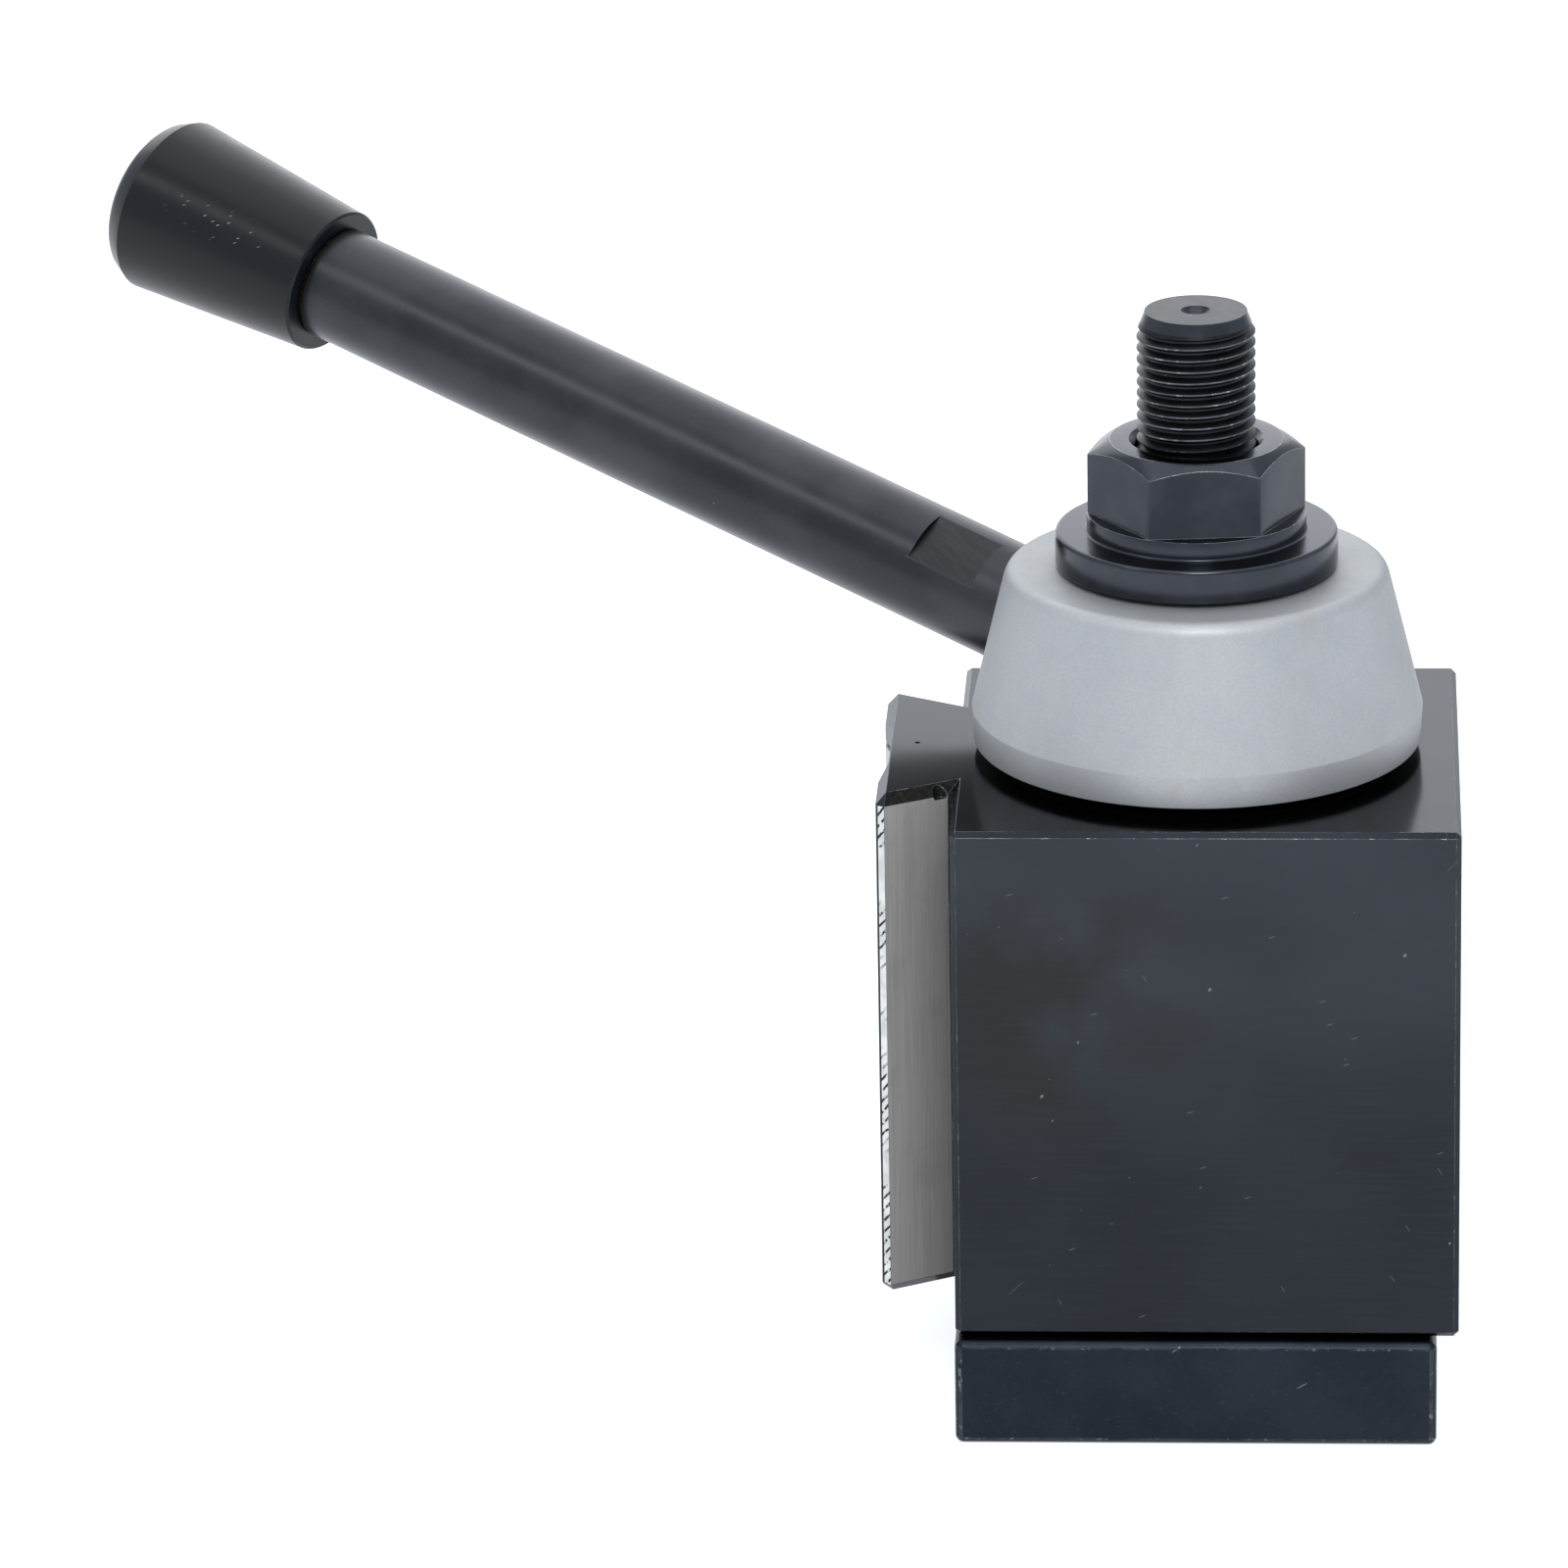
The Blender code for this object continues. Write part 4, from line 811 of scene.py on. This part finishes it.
def make_knob(finish):
    start = LEVER_END + GAP
    end = start + KNOB_LENGTH
    shoulder = end - KNOB_RIM - KNOB_DOME
    rim_radius = KNOB_BIG_RADIUS - KNOB_RIM
    bore = INSERT_RADIUS + GAP
    bore_end = start + KNOB_STUD + GAP
    dome = [(rim_radius * share, end - KNOB_DOME * share ** 2) for share in (0, 0.25, 0.5, 0.75, 1)]
    rim = []
    for step in range(1, KNOB_RIM_STEPS + 1):
        angle = math.radians(90) - KNOB_RIM_TURN * step / KNOB_RIM_STEPS
        rim.append((rim_radius + KNOB_RIM * math.cos(angle), shoulder + KNOB_RIM * math.sin(angle)))
    rim.append((KNOB_BIG_RADIUS, shoulder + KNOB_CREASE))
    mouth = [(KNOB_SMALL_RADIUS, start + KNOB_EDGE), (KNOB_SMALL_RADIUS - KNOB_EDGE, start)]
    shape = spun(dome + rim + mouth + [(bore, start), (bore, bore_end), (0, bore_end)])
    shape.transform(along_lever())
    return new_piece("phenolic_knob", shape, "handle", "black_phenolic", [finish], "lever_knob", smooth=24)


def thread_solid(bottom, turns):
    """A right-hand thread: one zigzag line, turned once while it climbs one pitch."""
    crest = STUD_RADIUS - THREAD_INSET
    root = STUD_RADIUS - THREAD_DEPTH
    flank = (THREAD_PITCH - THREAD_CREST - THREAD_ROOT) / 2
    line = [(0, bottom)]
    for turn in range(turns):
        start = bottom + turn * THREAD_PITCH
        line += [(root, start),
                 (root, start + THREAD_ROOT),
                 (crest, start + THREAD_ROOT + flank),
                 (crest, start + THREAD_ROOT + flank + THREAD_CREST)]
    line += [(root, bottom + turns * THREAD_PITCH), (0, bottom + turns * THREAD_PITCH)]
    shape = bmesh.new()
    points = [shape.verts.new((radius, 0, height)) for radius, height in line]
    edges = [shape.edges.new(pair) for pair in zip(points, points[1:])]
    bmesh.ops.spin(shape, geom=points + edges, cent=(0, 0, 0), axis=(0, 0, 1), angle=math.tau,
                   dvec=(0, 0, THREAD_PITCH / THREAD_ROUND), steps=THREAD_ROUND)
    bmesh.ops.remove_doubles(shape, verts=shape.verts, dist=MERGE)
    bmesh.ops.holes_fill(shape, edges=[edge for edge in shape.edges if edge.is_boundary], sides=0)
    bmesh.ops.recalc_face_normals(shape, faces=shape.faces)
    return shape


def make_stud(finishes):
    """The stud: a tapered end with a centre hole, a cut thread that starts in the taper, a plain shank."""
    top = STUD_HIGH.z
    thread_bottom = NUT_LOW.z
    turns = math.ceil((top - thread_bottom) / THREAD_PITCH) + 1
    wide = STUD_RADIUS + PAST
    fall = STUD_END_TAPER / STUD_END_CHAMFER
    end = STUD_RADIUS - STUD_END_CHAMFER
    thread_top = top - (STUD_END_CHAMFER - STUD_END_STEP) * fall
    envelope = spun([(0, top - STUD_END_LIP),
                     (end, top - STUD_END_LIP),
                     (wide, top - STUD_END_LIP - (wide - end) * fall),
                     (wide, thread_bottom - PAST),
                     (0, thread_bottom - PAST)])
    taper = spun([(0, top),
                  (end + STUD_END_LIP, top),
                  (STUD_RADIUS - STUD_END_STEP, thread_top),
                  (0, thread_top)])
    drill = spun([(0, top + PAST), (CENTRE_DRILL_RADIUS, top + PAST), (CENTRE_DRILL_RADIUS, top),
                  (0, top - CENTRE_DRILL_DEPTH)], DRILL_ROUND)
    shank = spun([(0, thread_bottom + 2 * THREAD_PITCH),
                  (STUD_RADIUS, thread_bottom + 2 * THREAD_PITCH),
                  (STUD_RADIUS, STUD_LOW.z + STUD_END_CHAMFER),
                  (STUD_RADIUS - STUD_END_CHAMFER, STUD_LOW.z),
                  (0, STUD_LOW.z)], SHANK_ROUND)
    shape = combined(thread_solid(thread_bottom, turns), ("INTERSECT", envelope), ("UNION", taper),
                     ("DIFFERENCE", drill), ("UNION", shank))
    for face in shape.faces:
        centre = face.calc_center_median()
        # the thread's crests get a finish that is worn and also painted lighter as a painted highlight
        on_crest = math.hypot(centre.x, centre.y) > STUD_RADIUS - CREST_REACH
        if NUT_LOW.z < centre.z < thread_top - MERGE:
            face.material_index = RUBBED_AND_LIT_CRESTS if on_crest else THREAD
        elif centre.z > top - STUD_END_LIP:
            face.material_index = SAWN_END
        else:
            face.material_index = SHANK
    return new_piece("threaded_stud", shape, "base", "dark_blued_steel", finishes, "clamp_stud", smooth=30)


def nut_hexagon(bottom, top):
    """The hexagon with its corners eased and its top turned to a flat cone."""
    radius = NUT_FLATS / math.sqrt(3)
    shape = bmesh.new()
    bmesh.ops.create_cone(shape, cap_ends=True, segments=6, radius1=radius, radius2=radius,
                          depth=top + PAST - bottom)
    # the corners of a new cone start on +Y, a quarter turn from a spun shape's
    shape.transform(Matrix.Translation((0, 0, (top + PAST + bottom) / 2))
                    @ Matrix.Rotation(NUT_TURN - math.pi / 2, 4, "Z"))
    corners = [edge for edge in shape.edges if abs(edge.verts[0].co.z - edge.verts[1].co.z) > PAST]
    bmesh.ops.bevel(shape, geom=corners, offset=NUT_CORNER, segments=CORNER_STEPS, profile=0.5,
                    affect="EDGES", material=-1)
    wide = radius + PAST
    cone = spun([(0, top),
                 (NUT_TOP_RADIUS, top),
                 (wide, top - (wide - NUT_TOP_RADIUS) * math.tan(NUT_TOP_CONE)),
                 (wide, bottom - PAST),
                 (0, bottom - PAST)])
    return combined(shape, ("INTERSECT", cone))


def make_nut(finishes):
    """The nut, with worn lines along the edges of its facets and flange, painted lighter too as painted edge
    highlights.
    """
    flange_top = NUT_LOW.z + NUT_FLANGE
    collar_top = flange_top + NUT_COLLAR
    collar_radius = NUT_FLATS / math.sqrt(3)
    corners = [(NUT_BORE_RADIUS, collar_top, 0),
               (collar_radius, collar_top, 0),
               (collar_radius, flange_top, NUT_COLLAR_EASE),
               (NUT_FLANGE_RADIUS, flange_top, NUT_FLANGE_EASE),
               (NUT_FLANGE_RADIUS, NUT_LOW.z, NUT_FOOT_EASE),
               (NUT_BORE_RADIUS, NUT_LOW.z, 0)]
    wide = NUT_BORE_RADIUS + NUT_COUNTERSINK + PAST
    bore = spun([(0, NUT_HIGH.z + PAST),
                 (wide, NUT_HIGH.z + PAST),
                 (NUT_BORE_RADIUS, NUT_HIGH.z - NUT_COUNTERSINK),
                 (NUT_BORE_RADIUS, NUT_LOW.z - PAST),
                 (0, NUT_LOW.z - PAST)])
    hexagon = nut_hexagon(flange_top + NUT_COLLAR / 2, NUT_HIGH.z)
    shape = combined(spun(eased(corners)), ("UNION", hexagon), ("DIFFERENCE", bore))
    for face in shape.faces:
        face.material_index = PLAIN
    fine_edges(shape, NUT_EDGE, NUT_BORE_RADIUS + NUT_COUNTERSINK + GAP, finish=EDGES)
    return new_piece("flanged_hexagon_nut", shape, "top_nut", "dark_blued_steel", finishes, "flanged_nut",
                     smooth=28)


def dress(finish, *nodes):
    """Gives CAD nodes that stay as they are a finish."""
    for node in nodes:
        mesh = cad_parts[node].data
        mesh.materials.clear()
        mesh.materials.append(finish)
        mesh.shade_smooth()
        mesh.set_sharp_from_angle(angle=math.radians(SMOOTH))


def make_pieces():
    oxide = black_oxide_ground_steel()
    milled = black_oxide_milled_steel()
    # edge finishes: worn oxide, painted lighter too as painted edge highlights
    worn = worn_and_highlit_edge_steel("worn_and_highlit_oxide_edge", "#2f3338", "#5a5e62", "#86888a")
    faint = worn_and_highlit_edge_steel("faintly_worn_and_highlit_edge", "#24282d", "#3b3f43", "#6c6e70")
    rubbed = worn_and_highlit_edge_steel("rubbed_and_highlit_nut_edge", "#54585d", "#85898d", "#aaacae")
    crests = worn_and_highlit_edge_steel("rubbed_and_highlit_thread_crest", "#44474b", "#5c6064", "#8c8f91")
    ground = bare_ground_steel()
    strip = cutter_marked_steel()
    scale = black_oxide_rough_chamfer()
    oiled = oiled_black_steel()
    lathe_steel = turned_metal("turned_bare_steel", "#8f8f8d", "#adadaa", 0.35)
    bronze = turned_metal("turned_bearing_bronze", "#9c6f3a", "#b98a4e", 0.38)
    brass = turned_metal("turned_brass", "#b8954a", "#d0b066", 0.32)
    make_block([oxide, ground, strip, worn, scale])
    make_gib("wedge_gib_left", "ground_gib_left", "gib_left", [ground, ground, strip, worn, ground])
    make_gib("wedge_gib_rear", "ground_gib_rear", "gib_rear", [ground, ground, strip, worn, ground])
    make_tnut([milled, faint])
    make_hub(satin_plated_steel())
    make_lever([black_oxide_turned_steel(), black_oxide_flat_steel()])
    make_knob(satin_phenolic())
    sawn = black_oxide_cut_steel("black_oxide_on_sawn_end", "#303235", "#3c3e41")
    thread = black_oxide_cut_steel("black_oxide_on_cut_thread", "#232427", "#2d2e31")
    make_stud([oiled, thread, crests, sawn])
    make_nut([oiled, rubbed])
    dress(lathe_steel, "centre_sleeve", "drive_screw", "lift_ring", "lift_ring_guide_pin", "bearing_ring")
    dress(oiled, "bearing_snap_ring", "hub_screw_1", "hub_screw_2", "hub_screw_3")
    dress(bronze, "upper_thrust_washer", "lower_thrust_washer")
    dress(brass, "knob_insert")
    dress(moulded_rubber(), "hub_seal")


# Studio

CAMERA_PLACE = (19.64 * MM, -1401.1 * MM, 595.6 * MM)
CAMERA_PITCH = math.radians(19.75)
CAMERA_YAW = math.radians(-3.385)
CAMERA_ROLL = math.radians(-1.058)
CAMERA_LENS = 223.64
LIT_PLACE = (0, 0, 0.09)
FLOOR_GLOW = (0.95, 0.99, 1.06, 1)
FLOOR_GLOW_STRENGTH = 0.75
ROOM_COLOUR = (0.93, 0.98, 1.08, 1)
ROOM_STRENGTH = 0.85


def make_camera():
    """The photograph's view, from a little above and a little to the right of the front face."""
    level = math.cos(CAMERA_PITCH)
    forward = Vector((math.sin(CAMERA_YAW) * level, math.cos(CAMERA_YAW) * level, -math.sin(CAMERA_PITCH)))
    right = forward.cross(Vector((0, 0, 1))).normalized()
    up = right.cross(forward)
    tilted_right = right * math.cos(CAMERA_ROLL) + up * math.sin(CAMERA_ROLL)
    tilted_up = up * math.cos(CAMERA_ROLL) - right * math.sin(CAMERA_ROLL)
    lens = bpy.data.cameras.new("photo_view")
    lens.lens = CAMERA_LENS
    lens.sensor_width = 36
    lens.clip_start = 0.05
    lens.clip_end = 20
    camera = bpy.data.objects.new("photo_view", lens)
    SCENE.collection.objects.link(camera)
    turn = Matrix((tilted_right, tilted_up, -forward)).transposed().to_4x4()
    camera.matrix_world = Matrix.Translation(CAMERA_PLACE) @ turn
    SCENE.camera = camera


def make_floor():
    """A light table of white opal sheet under the T-nut, which leaves hardly any shadow."""
    shape = bmesh.new()
    bmesh.ops.create_grid(shape, x_segments=1, y_segments=1, size=4.0)
    floor = loose_object("studio_floor", shape)
    floor.data.transform(Matrix.Translation((0, 0, CAD_LOW.z)))
    sockets = {"Specular IOR Level": 0.1,
               "Emission Color": FLOOR_GLOW,
               "Emission Strength": FLOOR_GLOW_STRENGTH}
    finish, _ = new_finish("matt_white_opal_sheet", 0.0, 0.9, "#bcbcbc", sockets)
    floor.data.materials.append(finish)


def soft_light(name, place, size, power):
    """A round soft light aimed at the post."""
    lamp = bpy.data.lights.new(name, "AREA")
    lamp.shape = "DISK"
    lamp.size = size
    lamp.energy = power
    light = bpy.data.objects.new(name, lamp)
    SCENE.collection.objects.link(light)
    light.location = place
    light.rotation_mode = "QUATERNION"
    light.rotation_quaternion = (Vector(LIT_PLACE) - Vector(place)).to_track_quat("-Z", "Y")


def make_studio():
    """Soft boxes behind, beside and over the post, lamps high in front and at the left, and a pale room."""
    make_floor()
    soft_light("key_lamp", (0.1, -1.14, 1.35), size=0.6, power=11)
    soft_light("side_lamp", (-1.41, -0.71, 1.72), size=0.3, power=2.8)
    soft_light("overhead_soft_box", (0, 0.25, 1.7), size=1.8, power=7)
    soft_light("back_soft_box", (-0.2, 1.5, 0.85), size=1.8, power=9.5)
    soft_light("left_soft_box", (-1.6, 0.2, 0.6), size=1.2, power=0.4)
    soft_light("right_soft_box", (1.6, 0.1, 0.6), size=1.2, power=0.6)
    world = bpy.data.worlds.new("studio")
    world.use_nodes = True
    SCENE.world = world
    room = world.node_tree.nodes["Background"]
    room.inputs["Color"].default_value = ROOM_COLOUR
    room.inputs["Strength"].default_value = ROOM_STRENGTH
    SCENE.view_settings.view_transform = "Standard"


make_camera()
make_studio()
make_pieces()
